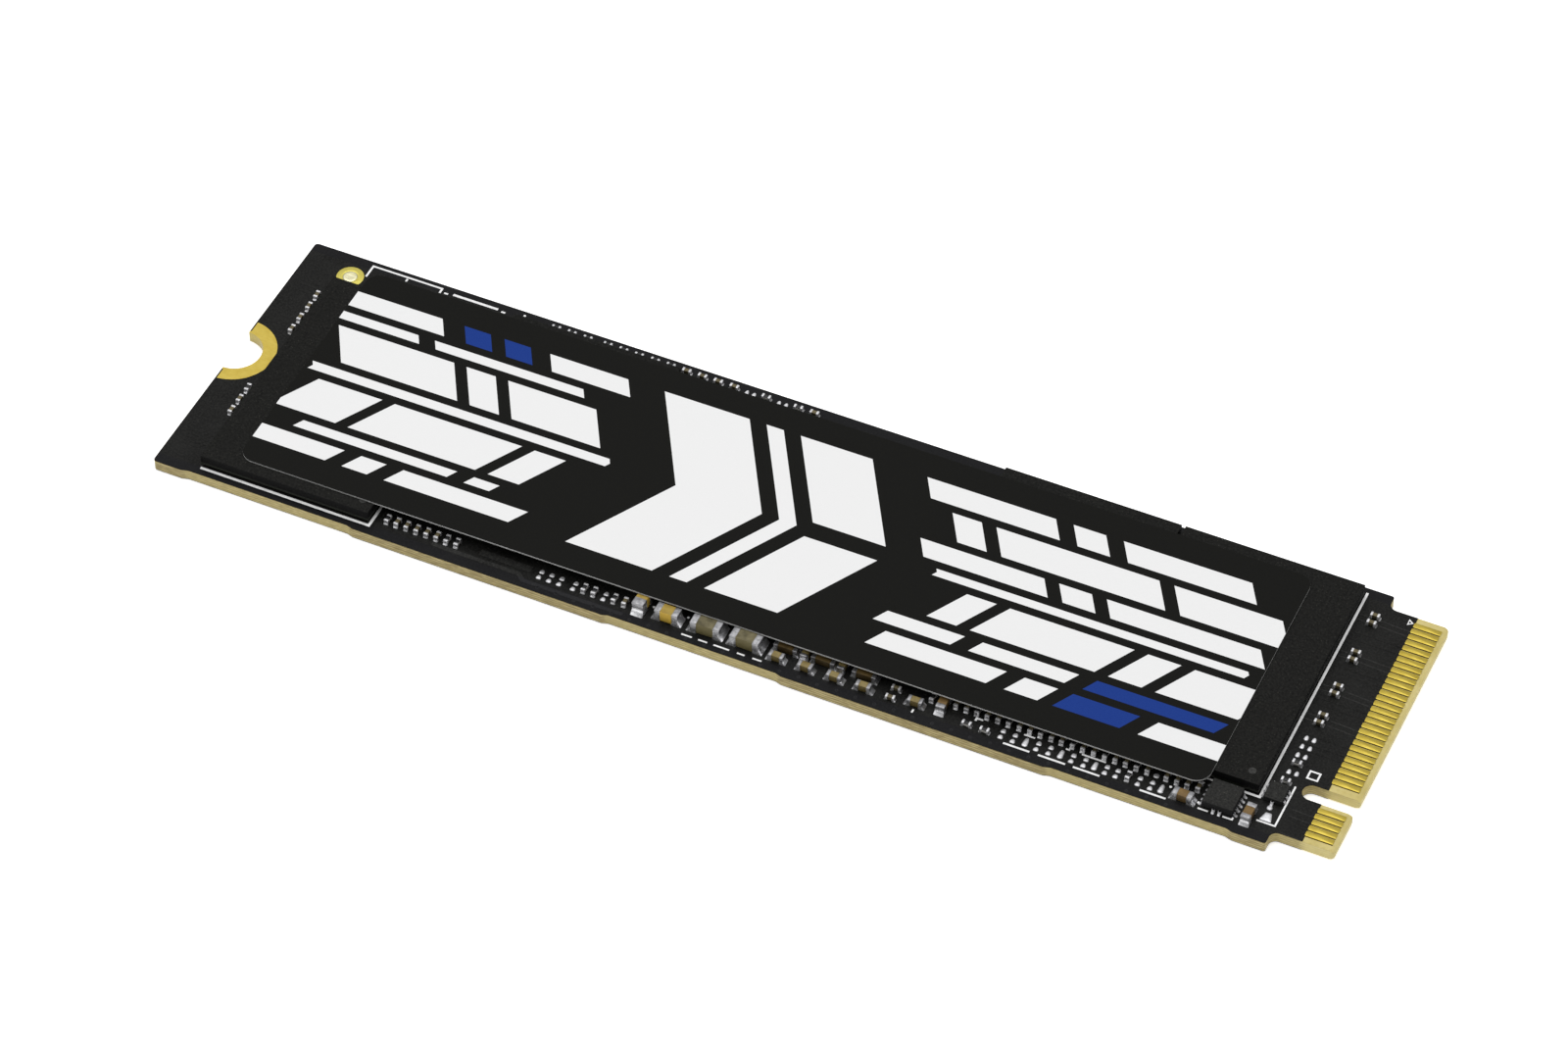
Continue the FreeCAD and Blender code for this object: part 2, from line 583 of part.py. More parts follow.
# ================================================================ printing and label
def line(points, width):
    """One printed line through points whose runs lie along X or Y."""
    runs = []
    for (x0, y0), (x1, y1) in zip(points, points[1:]):
        low_x = min(x0, x1) - width / 2
        low_y = min(y0, y1) - width / 2
        length = abs(x1 - x0) + width
        runs.append(block(low_x, low_y, CARD_THICKNESS, length, abs(y1 - y0) + width, INK))
    return fused(runs)


def pin_1_mark():
    """A small open triangle that points at the first contact."""
    shapes = []
    for corners in (PIN_1_OUTER, PIN_1_INNER):
        points = [V(x, y, CARD_THICKNESS) for x, y in corners]
        face = Part.Face(Part.makePolygon(points + points[:1]))
        shapes.append(face.extrude(V(0, 0, INK)))
    return shapes[0].cut(shapes[1])


def silkscreen():
    """All the ink on the card, as separate pieces of print."""
    prints = [line(points, width) for width, points in PRINTED_LINES]
    for y, width, spans in PRINTED_DASHES:
        prints += [line([(x0, y), (x1, y)], width) for x0, x1 in spans]
    prints += [disc(x, y, CARD_THICKNESS, DOT_R, INK) for x, y in PRINTED_DOTS]
    prints.append(pin_1_mark())
    return prints


def label():
    """Adhesive, foil and printed film, one on another across the packages."""
    x, y = LABEL_START
    corners = [(x, y), (x + LABEL_LENGTH, y), (x, y + LABEL_WIDTH), (x + LABEL_LENGTH, y + LABEL_WIDTH)]
    middle = V(x + LABEL_LENGTH / 2, y + LABEL_WIDTH / 2, 0)
    z = CARD_THICKNESS + PACKAGE_HEIGHT
    for node, thickness in LABEL_LAYERS:
        layer = rounded(block(x, y, z, LABEL_LENGTH, LABEL_WIDTH, thickness), corners, LABEL_CORNER_R)
        layer.rotate(middle, V(0, 0, 1), LABEL_TURN)
        save(node, layer)
        z += thickness


# ================================================================ the drive
def main():
    os.makedirs("parts", exist_ok=True)
    pad_opening = disc(GROUND_PAD_X, GROUND_PAD_Y, CORE_TOP, GROUND_PAD_R, SKIN)
    save("circuit_board", circuit_board())
    save("solder_mask_top", solder_mask(CORE_TOP, [pad_opening]))
    save("solder_mask_bottom", solder_mask(0, []))
    save("notch_plating", notch_plating())
    save("ground_pad", ground_pad())
    save("edge_contacts_top", contacts(TOP_PINS, 1, PIN_1_Y, CORE_TOP))
    save("edge_contacts_bottom", contacts(BOTTOM_PINS, 2, PIN_2_Y, 0))
    for i, corner in enumerate(MEMORY_CORNERS):
        moulded_package("memory", "_%d" % (i + 1), corner, MEMORY_LENGTH, MEMORY_WIDTH,
                        MEMORY_BALL_PITCH, MEMORY_BALL_ROWS, MEMORY_BALL_COLUMNS,
                        MEMORY_CLEAR_STRIP, MEMORY_DIMPLE_IN)
    moulded_package("cache", "", CACHE_CORNER, CACHE_LENGTH, CACHE_WIDTH, CACHE_BALL_PITCH,
                    CACHE_BALL_ROWS, CACHE_BALL_COLUMNS, CACHE_CLEAR_STRIP, MEMORY_DIMPLE_IN)
    controller()
    leadless_chip("power_manager", POWER_MANAGER)
    leadless_chip("load_switch", LOAD_SWITCH)
    leadless_chip("logic_chip", LOGIC_CHIP)
    inductors()
    crystal()
    place_chip_parts()
    save("bare_solder_pads", bare_pads())
    save("silkscreen", silkscreen())
    label()


main()
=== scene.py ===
import math
import random

import bmesh
import bpy
from mathutils import Matrix, Vector


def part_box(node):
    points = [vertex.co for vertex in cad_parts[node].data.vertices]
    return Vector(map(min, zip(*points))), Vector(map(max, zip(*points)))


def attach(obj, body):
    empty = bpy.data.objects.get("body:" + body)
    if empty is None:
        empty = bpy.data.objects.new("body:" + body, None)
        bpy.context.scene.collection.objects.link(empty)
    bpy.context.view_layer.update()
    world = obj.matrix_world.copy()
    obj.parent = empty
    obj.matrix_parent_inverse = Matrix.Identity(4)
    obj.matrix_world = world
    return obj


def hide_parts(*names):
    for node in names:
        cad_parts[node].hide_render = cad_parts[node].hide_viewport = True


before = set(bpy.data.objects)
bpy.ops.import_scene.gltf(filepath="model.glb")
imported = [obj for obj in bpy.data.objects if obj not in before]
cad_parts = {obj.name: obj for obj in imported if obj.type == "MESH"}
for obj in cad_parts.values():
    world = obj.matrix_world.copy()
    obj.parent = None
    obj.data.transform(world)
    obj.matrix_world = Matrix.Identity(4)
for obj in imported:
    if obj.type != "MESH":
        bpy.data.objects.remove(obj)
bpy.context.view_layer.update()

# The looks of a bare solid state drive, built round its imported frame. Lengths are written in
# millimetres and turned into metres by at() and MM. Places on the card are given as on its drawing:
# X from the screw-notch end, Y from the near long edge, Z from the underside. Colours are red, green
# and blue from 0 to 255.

MM = 0.001

# -------- levels and places from the frame
CARD_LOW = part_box("circuit_board")[0]
CARD_CORNER = Vector((CARD_LOW.x, CARD_LOW.y, 0))
CARD_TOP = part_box("solder_mask_top")[1].z / MM
LABEL_LOW, LABEL_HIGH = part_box("label_film")
LABEL_TOP = LABEL_HIGH.z / MM

# -------- edges
SHARP_ANGLE = math.radians(38)  # edges sharper than this are rounded over, or shaded as creases
SAME_POINT = 1e-7
FLAT_ANGLE = math.radians(0.4)
PACKAGE_ROUND = 0.035
LID_ROUND = 0.07
SUBSTRATE_ROUND = 0.015
LAMINATE_ROUND = 0.02
SKIN_ROUND = 0.01
INK_ROUND = 0.006
LEAD_ROUND = 0.025
FILM_ROUND = 0.005

# -------- tones, and where they change, from the middle of the card
BARE_FROM = 37.9             # the laminate is bare beyond this X, and light shines into its edges
OUTLINE_Y = 11.0             # painted light: the laminate's edge is painted paler where it stands in from this outline
POUR_EDGE = 10.22            # the copper within the laminate ends at this Y
SIDE_SHADE_SHARE = 0.8              # painted shade: an upright face's tone as a share of the top's, darker for the weaker light that falls on it
LARGE_SIDE_LIGHT_SHARE = 1.3        # painted light: the same share for the large capacitors, whose upright faces are painted paler to make up for the weak light from the front
GOLD_WALL = (166, 152, 92)
CLOTH_PITCH = 0.42           # between the threads of the laminate's glass cloth

# -------- copper under the mask
PLAIN, ON_COPPER = 0, 1      # the mask's own tone, and its paler one
TRACE_RISE = 0.012           # copper under the mask lifts it by this much
COPPER_SINK = 0.004          # how far a track's body reaches down into the mask
TRACE_SLOPE = 0.6            # how far a track's sides lean in, as a share of its height
VIA_PROFILE = [(1, 0), (0.82, 1), (0.5, 1), (0.3, 0.15)]    # shares of its radius and of its height
VIA_R = 0.2
CORNER_VIA_R = 0.16
EDGE_VIA_R = 0.13
BOTTOM_EDGE_VIA_R = 0.15

# tracks to the contacts: the X of a track's two ends, how much its Y changes, and its width
TRACKS_END = 77.85
PAIR_TRACKS = [(76.0, TRACKS_END, -0.1, 0.1), (74.5, 75.1, 0.0, 0.1)]
PAIR_MIDDLES = (10.5, 13.1, 16.17, 19.5)
PAIR_HALF_GAP = 0.22
CONTACT_TRACK = (74.55, TRACKS_END, 0.0, 0.13)
CONTACT_TRACKS_Y = (7.9, 8.4, 9.1, 11.7, 12.2, 14.6, 15.1, 17.6, 18.2)
CONTACT_VIA_X = 74.85
CONTACT_VIA_SHIFT = 0.28
KEY_TRACK = (76.5, TRACKS_END, -0.05, 0.1)
KEY_TRACKS_Y = (3.15, 2.6, 1.15)
# broad tracks by the near edge: the width and the way of each
POWER_TRACKS = [(0.3, [(19.5, 0.95), (25.6, 0.95), (26.1, 0.55), (33.0, 0.55)]),
                (0.5, [(22.6, 1.6), (26.2, 1.6)])]

# buses of parallel tracks: where the first starts, how many and how far apart, how far they run before
# their step sideways, that step, the X where they end, and a track's width
TOP_BUSES = [((0.8, 2.2), 5, 0.3, 1.2, 0.9, 2.9, 0.13), ((0.8, 17.6), 4, 0.3, 0.9, -0.8, 2.9, 0.13)]
BOTTOM_BUSES = [((5.0, 3.0), 14, 0.45, 13.0, 2.2, 36.0, 0.16),
                ((5.0, 12.5), 12, 0.45, 9.0, -1.6, 36.0, 0.16),
                ((50.0, 4.2), 16, 0.42, 7.0, 1.5, 76.0, 0.15),
                ((50.0, 14.0), 12, 0.42, 12.0, -1.1, 76.0, 0.15)]
# rows of vias: where the first is, the step from each to the next, and how many
CORNER_VIAS = [((0.7, 21.2), (0.32, -0.06), 6), ((1.0, 1.1), (0.3, 0.0), 6)]
BOTTOM_EDGE_VIAS = [((3.4, 0.55), (1.2, 0.0), 60), ((3.4, 21.4), (1.2, 0.0), 60)]
# vias along the near edge: the first, the step in X, how many, how far they waver in Y, and the turn
# of that wave from each to the next
EDGE_VIAS = ((27.2, 0.36), 1.28, 34, 0.04, 2.4)
# underside, beneath the controller: the first via, their pitch, how many each way, and the share there
VIA_FIELD = (38.0, 6.6, 0.95, 12, 0.72)
# underside, columns of vias: the first Y, the step, how many, and how far they stray in X
VIA_COLUMN = (2.0, 1.3, 14, 0.1)
VIA_COLUMNS_X = (9.0, 21.4, 56.0, 68.2)

# -------- contacts and the ground pad
CONTACT_CORNER = 0.07
CONTACT_SLACK = 0.06         # about how far a top contact laps over the mask's end
SLACK_SPREAD = (0.6, 1.2)
TOP_LIP = 0.006              # top contacts stand proud of their CAD face, lower ones only a hair
BOTTOM_LIP = 0.002
TOP_ROUNDS = (0.012, 0.004)  # the rounding of a contact's edges and of its painted shadow strip's
BOTTOM_ROUNDS = (0.003, 0.001)
SHADOW_FLANK = 0.06                 # width of the painted shadow: a dark strip along each contact's near side, where its wall stands in shade
FAR_FLANK = 0.045            # how far the gold itself spreads at its far side
SHADOW_RISE = 0.012
SHADOW_SINK = 0.002            # how far the painted shadow strip reaches into the laminate
SHADOW_INSETS = (0.04, 0.01)   # how far its ends stand in from the contact's
SHADOW_CORNER = 0.02
# the ground pad's ridge and the drop of solder in it: radius, and height over the card
RIDGE_PROFILE = [(0.68, 0.0), (0.64, 0.01), (0.6, 0.014), (0.56, 0.01), (0.52, 0.0)]
DROP_PROFILE = [(0.5, -0.01), (0.48, 0.012), (0.43, 0.026), (0.3, 0.03), (0.22, 0.022)]
RIM_ROUND = (0.01, 0.004)    # how far the pad's rounded rim goes in, and down

# -------- chip parts
BODY_INSET = 0.018           # a chip's body stands in from its metal ends by this much
BODY_REACH = 0.05            # and reaches this far into them
BODY_ROUND = 0.0315
RESISTOR_ROUND = 0.012
RESISTOR_CHIP = 0.62         # the white chip's share of a resistor's height; the rest is its coat
COAT_OVERLAP = 0.02
COAT_INSET = 0.01
COAT_ROUND = 0.03
SHORT_LARGE = 0.9            # large capacitors smaller than this are yellow
TALL_MEDIUM = 0.55           # medium capacitors taller than this are reddish
END_ROUND = {"small": 0.022, "medium": 0.045, "low": 0.03, "large": 0.05}
SOLDER_REACH = {"small": 0.08, "medium": 0.2, "low": 0.12, "large": 0.24}
SOLDER_SIDE = {"small": 0.02, "medium": 0.03, "low": 0.03, "large": 0.03}
SOLDER_CLIMB = 0.72          # how far solder climbs an end, as a share of its height
CLIMB_SPREAD = (0.8, 1.15)
REACH_SPREAD = (0.85, 1.15)
FILLET_STEPS = 6
FILLET_HOLLOW = 2.3          # how hollow a fillet is: 1 would be straight
FILLET_CORNER = 0.07
LEAD_REACH = 0.16            # how far solder runs out from a leadless chip's lead
TURN_SPREAD = math.radians(2.2)
SHIFT_SPREAD = 0.012
SOLDER_TURN = 0.3            # solder turns with its part by this share

# bare pads: the corners' radius and the narrowing towards the far side, as shares of the width
WIDE_PAD = 0.5               # pads at least this wide keep their square corners
SMALL_PAD_FORM = (0.42, 0.4)
WIDE_PAD_FORM = (0.12, 0.5)
OBLONG = 1.08                # pads longer than their width by this factor aren't round
DOME_STEPS = 5
DOME_INSET = 0.3             # how far a dome's top stands in, as a share of its width
DOME_ARC = math.radians(83.7)
DOME_SPREAD = (0.8, 1.3)

# inductors
CORE_ROUND = 0.09
CORE_REACH = Vector((0.1, 0, 0))
WRAP_ROUND = 0.07
WRAP_LOW = Vector((0, 0.015, 0))
WRAP_HIGH = Vector((0, 0.015, 0.012))

# -------- packages
MARK_DEPTHS = (0.002, 0.05)  # faces let into a package's top between these are its pin 1 mark
LEVEL = 0.9                  # the least upright part of a level face's normal

# -------- label art, on its own axes
LABEL_LENGTH = 66.0
LABEL_WIDTH = 18.5
LABEL_TURN = math.radians(0.25)
INK_RISE = 0.003             # the white and blue ink over the black ground
ART_MIDDLE = 9.25
LEAN = 0.58                  # how far a slanted end falls back for each unit away from the middle
# rows of bars: the lowest and highest edge, then the two ends of each bar as they would be at the
# middle line, from which all ends slant back like arrowheads
WHITE_ROWS = [
    (2.0, 3.3, [(2.9, 9.4), (10.6, 12.4), (13.6, 22.4)]),
    (3.9, 4.6, [(5.0, 16.0), (17.2, 19.0)]),
    (5.2, 8.3, [(2.0, 6.6), (7.5, 16.6), (17.5, 19.7)]),
    (8.9, 9.6, [(0.5, 21.8)]),
    (10.2, 13.2, [(2.6, 11.0), (11.9, 14.0), (14.9, 21.2)]),
    (13.8, 14.5, [(1.0, 8.5), (9.7, 20.4)]),
    (15.1, 16.5, [(3.2, 10.4), (18.2, 23.8)]),
    (2.0, 16.5, [(26.4, 32.4), (33.6, 34.8)]),
    (2.0, 8.6, [(36.0, 41.0)]),
    (9.9, 16.5, [(36.0, 41.0)]),
    (2.0, 3.4, [(46.9, 55.0), (56.2, 58.4), (65.0, 72.0)]),
    (4.0, 5.0, [(45.4, 50.6), (51.8, 58.2)]),
    (5.6, 8.3, [(47.4, 49.4), (50.3, 58.6), (59.5, 61.7), (62.6, 68.0)]),
    (8.9, 9.5, [(44.4, 65.2)]),
    (10.1, 11.5, [(43.6, 52.0), (53.0, 55.2), (56.2, 66.4)]),
    (12.1, 14.3, [(46.2, 48.2), (49.2, 60.2), (61.2, 68.4)]),
    (14.9, 16.5, [(44.8, 53.6), (54.8, 57.0), (58.2, 66.8)]),
]
BLUE_ROWS = [
    (15.1, 16.5, [(12.0, 13.9), (14.9, 16.8)]),
    (2.0, 3.4, [(59.4, 63.8)]),
    (4.0, 5.0, [(59.4, 68.0)]),
]

# -------- camera, floor and lights, in metres
CAMERA_PLACE = (0.099384, -0.214712, 0.252860)
CAMERA_TURN = (43.337, 0.133, 24.866)
CAMERA_LENS = 126.3
SENSOR_WIDTH = 36.0
NEAREST_SEEN = 0.01
FLOOR_Z = -0.03 * MM
FLOOR_SIZE = 6.0
FLOOR_GLOW = 0.45
WORLD_STRENGTH = 0.25
# soft lights aimed at the card: name, place, length and width, watts
LIGHTS = [
    ("overhead", (-0.05, 0.0, 0.75), (0.9, 0.9), 5.0),
    ("rear_panel", (-0.23, 0.5, 0.58), (0.8, 0.8), 1.2),
    ("front_left", (-0.45, -0.5, 0.35), (0.5, 0.4), 0.8),
    ("back_right", (0.5, 0.45, 0.3), (0.4, 0.3), 0.5),
]


def at(x, y, z):
    """A point on the card's drawing, in the frame's metres."""
    return CARD_CORNER + Vector((x, y, z)) * MM


def srgb(red, green, blue):
    """A colour of 0 to 255 values as the linear one that shaders take."""
    def linear(value):
        value /= 255
        return value / 12.92 if value <= 0.04045 else ((value + 0.055) / 1.055) ** 2.4
    return (linear(red), linear(green), linear(blue), 1.0)


def grey(tone, blue=0):
    """A grey with that much more blue in it."""
    return srgb(tone, tone, tone + blue)


def dimmed(colour, share):
    return srgb(*[value * share for value in colour])


# ======== materials
class Finish:
    """A material being made: its nodes, and the point being shaded in millimetres."""

    def __init__(self, name):
        self.material = bpy.data.materials.new(name)
        self.material.use_nodes = True
        self.tree = self.material.node_tree
        self.shader = next(n for n in self.tree.nodes if n.type == "BSDF_PRINCIPLED")
        scale = self.add("ShaderNodeVectorMath", operation="SCALE")
        self.link(self.add("ShaderNodeTexCoord").outputs["Object"], scale.inputs[0])
        scale.inputs["Scale"].default_value = 1 / MM
        self.point = scale.outputs[0]

    def add(self, kind, **settings):
        node = self.tree.nodes.new(kind)
        for name, value in settings.items():
            setattr(node, name, value)
        return node

    def link(self, source, target):
        self.tree.links.new(source, target)

    def put(self, target, value):
        """Sets an input from a number, a colour or another node's output."""
        if isinstance(value, bpy.types.NodeSocket):
            self.link(value, target)
        else:
            target.default_value = value

    def noise(self, size, detail=2.0, stretch=(1, 1, 1), turn=0.0, rough=0.5):
        """Cloudy variation of 0 to 1 with features of about that size."""
        place = self.add("ShaderNodeMapping")
        self.link(self.point, place.inputs["Vector"])
        place.inputs["Rotation"].default_value = (0, 0, turn)
        place.inputs["Scale"].default_value = [1 / (size * s) for s in stretch]
        texture = self.add("ShaderNodeTexNoise")
        self.link(place.outputs[0], texture.inputs["Vector"])
        texture.inputs["Scale"].default_value = 1
        texture.inputs["Detail"].default_value = detail
        texture.inputs["Roughness"].default_value = rough
        return texture.outputs["Fac"]

    def specks(self, size, share):
        """1 inside small round grains that fill about that share of the surface, and 0 outside."""
        texture = self.add("ShaderNodeTexVoronoi")
        self.link(self.point, texture.inputs["Vector"])
        texture.inputs["Scale"].default_value = 1 / size
        return self.span(texture.outputs["Distance"], share, share * 0.6)

    def wave(self, size, direction, distortion):
        """Parallel bands of 0 to 1, that far apart."""
        texture = self.add("ShaderNodeTexWave", bands_direction=direction)
        self.link(self.point, texture.inputs["Vector"])
        texture.inputs["Scale"].default_value = math.pi / 10 / size
        texture.inputs["Distortion"].default_value = distortion
        return texture.outputs["Fac"]

    def cloth(self, distortion):
        """The over and under of the laminate's glass cloth."""
        along, across = (self.wave(CLOTH_PITCH, direction, distortion) for direction in "XY")
        return self.math("MULTIPLY", along, across)

    def span(self, source, low=0.3, high=0.7, to_low=0, to_high=1):
        """The source's low to high laid over another range, and held at its ends."""
        node = self.add("ShaderNodeMapRange")
        self.link(source, node.inputs["Value"])
        for name, value in (("From Min", low), ("From Max", high), ("To Min", to_low), ("To Max", to_high)):
            self.put(node.inputs[name], value)
        return node.outputs[0]

    def math(self, operation, first, second=0.0):
        node = self.add("ShaderNodeMath", operation=operation)
        self.put(node.inputs[0], first)
        self.put(node.inputs[1], second)
        return node.outputs[0]

    def mix(self, amount, first, second):
        """Two colours mixed by an amount."""
        node = self.add("ShaderNodeMix", data_type="RGBA")
        self.put(node.inputs["Factor"], amount)
        self.put(node.inputs[6], first)
        self.put(node.inputs[7], second)
        return node.outputs[2]

    def shade(self, source, first, second, low=0.3, high=0.7, share=1):
        """From one colour towards another, by up to that share, as the source goes from low to high."""
        return self.mix(self.span(source, low, high, 0, share), first, second)

    def sides(self, side, level, low=0.3, high=0.8):
        """One colour on upright faces, and another on those that look straight up or down."""
        parts = self.add("ShaderNodeSeparateXYZ")
        self.link(self.add("ShaderNodeNewGeometry").outputs["Normal"], parts.inputs[0])
        return self.shade(self.math("ABSOLUTE", parts.outputs["Z"]), side, level, low, high)

    def axis(self, letter):
        """The distance along one axis from the middle of the card, in millimetres."""
        parts = self.add("ShaderNodeSeparateXYZ")
        self.link(self.point, parts.inputs[0])
        return parts.outputs[letter]

    def bump(self, source, height, under=None):
        """Relief from a 0 to 1 source, of that height, over any relief under it."""
        node = self.add("ShaderNodeBump")
        self.link(source, node.inputs["Height"])
        node.inputs["Distance"].default_value = height * MM
        if under is not None:
            self.link(under, node.inputs["Normal"])
        return node.outputs[0]

    def done(self, **inputs):
        """Sets the shader's inputs, written as words with _ for a space, and gives the material."""
        for name, value in inputs.items():
            self.put(self.shader.inputs[name.replace("_", " ")], value)
        return self.material


def laminate():
    """Glass-epoxy: a faint weave on its faces, and fibres and plies along its milled edges."""
    f = Finish("laminate")
    face = f.shade(f.noise(1.6, 3), srgb(196, 180, 112), srgb(212, 197, 134))
    face = f.shade(f.cloth(0.6), face, srgb(184, 166, 94), 0.2, 0.9, 0.35)
    plies = f.wave(0.19, "Z", 1.2)
    fibre = f.noise(0.05, 3, (9, 9, 1))
    edge = f.shade(plies, srgb(146, 131, 86), srgb(184, 170, 120), 0.2, 0.8)
    edge = f.shade(fibre, edge, srgb(116, 102, 64), 0.4, 0.62, 0.7)
    # painted light: the edge is painted towards the face's pale tone beyond the bare line, and where it
    # stands in from the outline
    glow = f.span(f.axis("X"), BARE_FROM - 0.4, BARE_FROM + 0.3, 0, 0.8)
    inset_edge_light = f.span(f.math("ABSOLUTE", f.axis("Y")), OUTLINE_Y - 0.1, OUTLINE_Y - 0.04, 0.2, 0)
    edge = f.mix(f.math("MAXIMUM", glow, inset_edge_light), edge, srgb(212, 198, 134))
    saw_marks = f.noise(0.3, 2, (1, 1, 4))
    return f.done(Base_Color=f.sides(edge, face, 0.4, 0.75), Specular_IOR_Level=0.25,
                  Roughness=f.span(fibre, to_low=0.5, to_high=0.72), Subsurface_Weight=0.08,
                  Subsurface_Radius=(0.0004, 0.0003, 0.0001),
                  Normal=f.bump(fibre, 0.012, f.bump(saw_marks, 0.02)))


def solder_mask(name, tone):
    """Black satin lacquer with orange peel, that shows the glass cloth under it faintly."""
    f = Finish(name)
    peel = f.noise(0.16, 2)
    grain = f.noise(0.13, 3, rough=0.7)
    colour = f.shade(f.noise(2.5, 3), grey(tone - 7, -1), grey(tone + 8, -1))
    colour = f.shade(grain, colour, grey(tone + 24, -2), 0.42, 0.72, 0.85)
    colour = f.mix(f.specks(0.22, 0.05), colour, grey(tone + 38, -2))
    from_middle = f.math("ABSOLUTE", f.axis("Y"))
    colour = f.shade(from_middle, colour, grey(tone + 2, 4), POUR_EDGE, POUR_EDGE + 0.06, 0.6)
    return f.done(Base_Color=colour, Roughness=f.span(peel, to_low=0.36, to_high=0.5),
                  Specular_IOR_Level=0.09, Normal=f.bump(f.cloth(0.8), 0.003, f.bump(peel, 0.0045)))


def gold(name, turn, light, dark, metallic=1.0):
    """Thin gold over nickel, brushed by handling, a little browner in patches, duller down its walls."""
    f = Finish(name)
    streaks = f.noise(0.03, 3, (18, 1, 1), turn)
    patches = f.noise(0.45, 3)
    colour = f.shade(patches, srgb(*light), srgb(*dark), 0.35)
    colour = f.shade(streaks, colour, dimmed(dark, 0.84), 0.45, 0.8, 0.4)
    return f.done(Base_Color=f.sides(srgb(*GOLD_WALL), colour), Metallic=metallic,
                  Roughness=f.span(streaks, 0.3, 0.75, 0.3, 0.48),
                  Normal=f.bump(streaks, 0.0022, f.bump(patches, 0.003)))


def printed_ink():
    """White ink screened on the board: slightly grainy, thinner in places."""
    f = Finish("silkscreen_ink")
    grain = f.noise(0.05, 2)
    colour = f.shade(f.noise(0.35, 2), grey(246), srgb(206, 207, 208), 0.42, 0.75, 0.5)
    return f.done(Base_Color=colour, Roughness=f.span(grain, to_low=0.5, to_high=0.7),
                  Specular_IOR_Level=0.3, Normal=f.bump(grain, 0.004))


def tin(name, low, high, rough, metallic=1.0):
    """Tin or solder: soft reflections, uneven from the melt."""
    f = Finish(name)
    melt = f.noise(0.2, 3)
    grain = f.noise(0.035, 2)
    colour = f.sides(grey(high, 2), f.shade(melt, grey(low, 3), grey(high, 2)))
    return f.done(Base_Color=colour, Metallic=metallic,
                  Roughness=f.span(grain, to_low=rough, to_high=rough + 0.14),
                  Normal=f.bump(grain, 0.0012, f.bump(melt, 0.006)))


def mould_compound(name, tone):
    """Filled black epoxy: fine sandy texture with a few bright filler grains."""
    f = Finish(name)
    sand = f.noise(0.14, 3, rough=0.75)
    colour = f.shade(sand, grey(tone - 18), grey(tone + 24, -2))
    colour = f.shade(f.noise(3.0, 3), colour, grey(tone + 4, -2), 0.35, 0.7, 0.3)
    colour = f.mix(f.specks(0.22, 0.15), colour, srgb(tone + 46, tone + 45, tone + 40))
    return f.done(Base_Color=f.sides(grey(tone), colour), Roughness=f.span(sand, to_low=0.5, to_high=0.72),
                  Specular_IOR_Level=0.07, Normal=f.bump(sand, 0.006))


def ceramic(name, low, high, rough=0.5, shine=0.35, side=SIDE_SHADE_SHARE):
    """A fired body with fine grain and slow changes of tone. Its upright faces take the side share of its
    low tone: painted shade where that share is under 1, painted light where it is over 1.
    """
    f = Finish(name)
    grain = f.noise(0.035, 3, rough=0.65)
    colour = f.shade(f.noise(0.5, 3), srgb(*low), srgb(*high), 0.32, 0.68)
    colour = f.shade(grain, colour, dimmed(low, 0.72), 0.5, 0.8, 0.35)
    # upright faces in a share of the low tone: painted shade under 1, painted light over 1
    return f.done(Base_Color=f.sides(dimmed(low, side), colour), Specular_IOR_Level=shine,
                  Roughness=f.span(grain, to_low=rough, to_high=rough + 0.18), Normal=f.bump(grain, 0.003))


def label_ink(name, colour, shade, core=None):
    """Matt printed film: an even tone with the finest of grain, very slightly wavy.

    core is the paler film that its cut edges show."""
    f = Finish(name)
    grain = f.noise(0.07, 2)
    tone = f.shade(grain, srgb(*colour), srgb(*[value - shade for value in colour]), 0.35, 0.65)
    if core:
        tone = f.sides(grey(core), tone, 0.3, 0.85)
    return f.done(Base_Color=tone, Roughness=f.span(grain, to_low=0.44, to_high=0.56),
                  Specular_IOR_Level=0.05,
                  Normal=f.bump(grain, 0.0008, f.bump(f.noise(7.0, 1), 0.012)))


def metal(name, low, high, rough, size):
    """Plated or stamped sheet, with fine rolling marks of that size."""
    f = Finish(name)
    marks = f.noise(size, 3, (12, 1, 1))
    return f.done(Base_Color=f.shade(marks, srgb(*low), srgb(*high)), Metallic=1.0,
                  Roughness=f.span(marks, to_low=rough, to_high=rough + 0.12), Normal=f.bump(marks, 0.002))


def floor_finish():
    """Pale studio table, lit a little from below."""
    f = Finish("studio_table")
    colour = f.shade(f.noise(40.0, 2), grey(252), grey(249, 1))
    return f.done(Base_Color=colour, Roughness=0.9, Specular_IOR_Level=0.0, Emission_Color=colour,
                  Emission_Strength=FLOOR_GLOW)


LAMINATE = laminate()
MASK = solder_mask("solder_mask", 16)
MASK_ON_COPPER = solder_mask("solder_mask_on_copper", 33)
FINGER_GOLD = gold("gold_contacts", math.radians(32), (190, 170, 76), (182, 160, 66))
RING_GOLD = gold("gold_rings", 0.0, (199, 177, 86), (190, 166, 74))
PAD_GOLD = gold("gold_pad", 0.0, (212, 200, 98), (204, 190, 88), 0.6)
PALE_GOLD = metal("tinned_gold", (206, 200, 156), (232, 228, 196), 0.34, 0.09)
# painted shadow: the dark strip along each contact's near foot, where its wall stands in shade
CONTACT_SHADOW = ceramic("painted_contact_shadow", (58, 44, 4), (74, 58, 10), 0.6, 0.1)
BOARD_INK = printed_ink()
TIN = tin("tin_ends", 118, 166, 0.36)
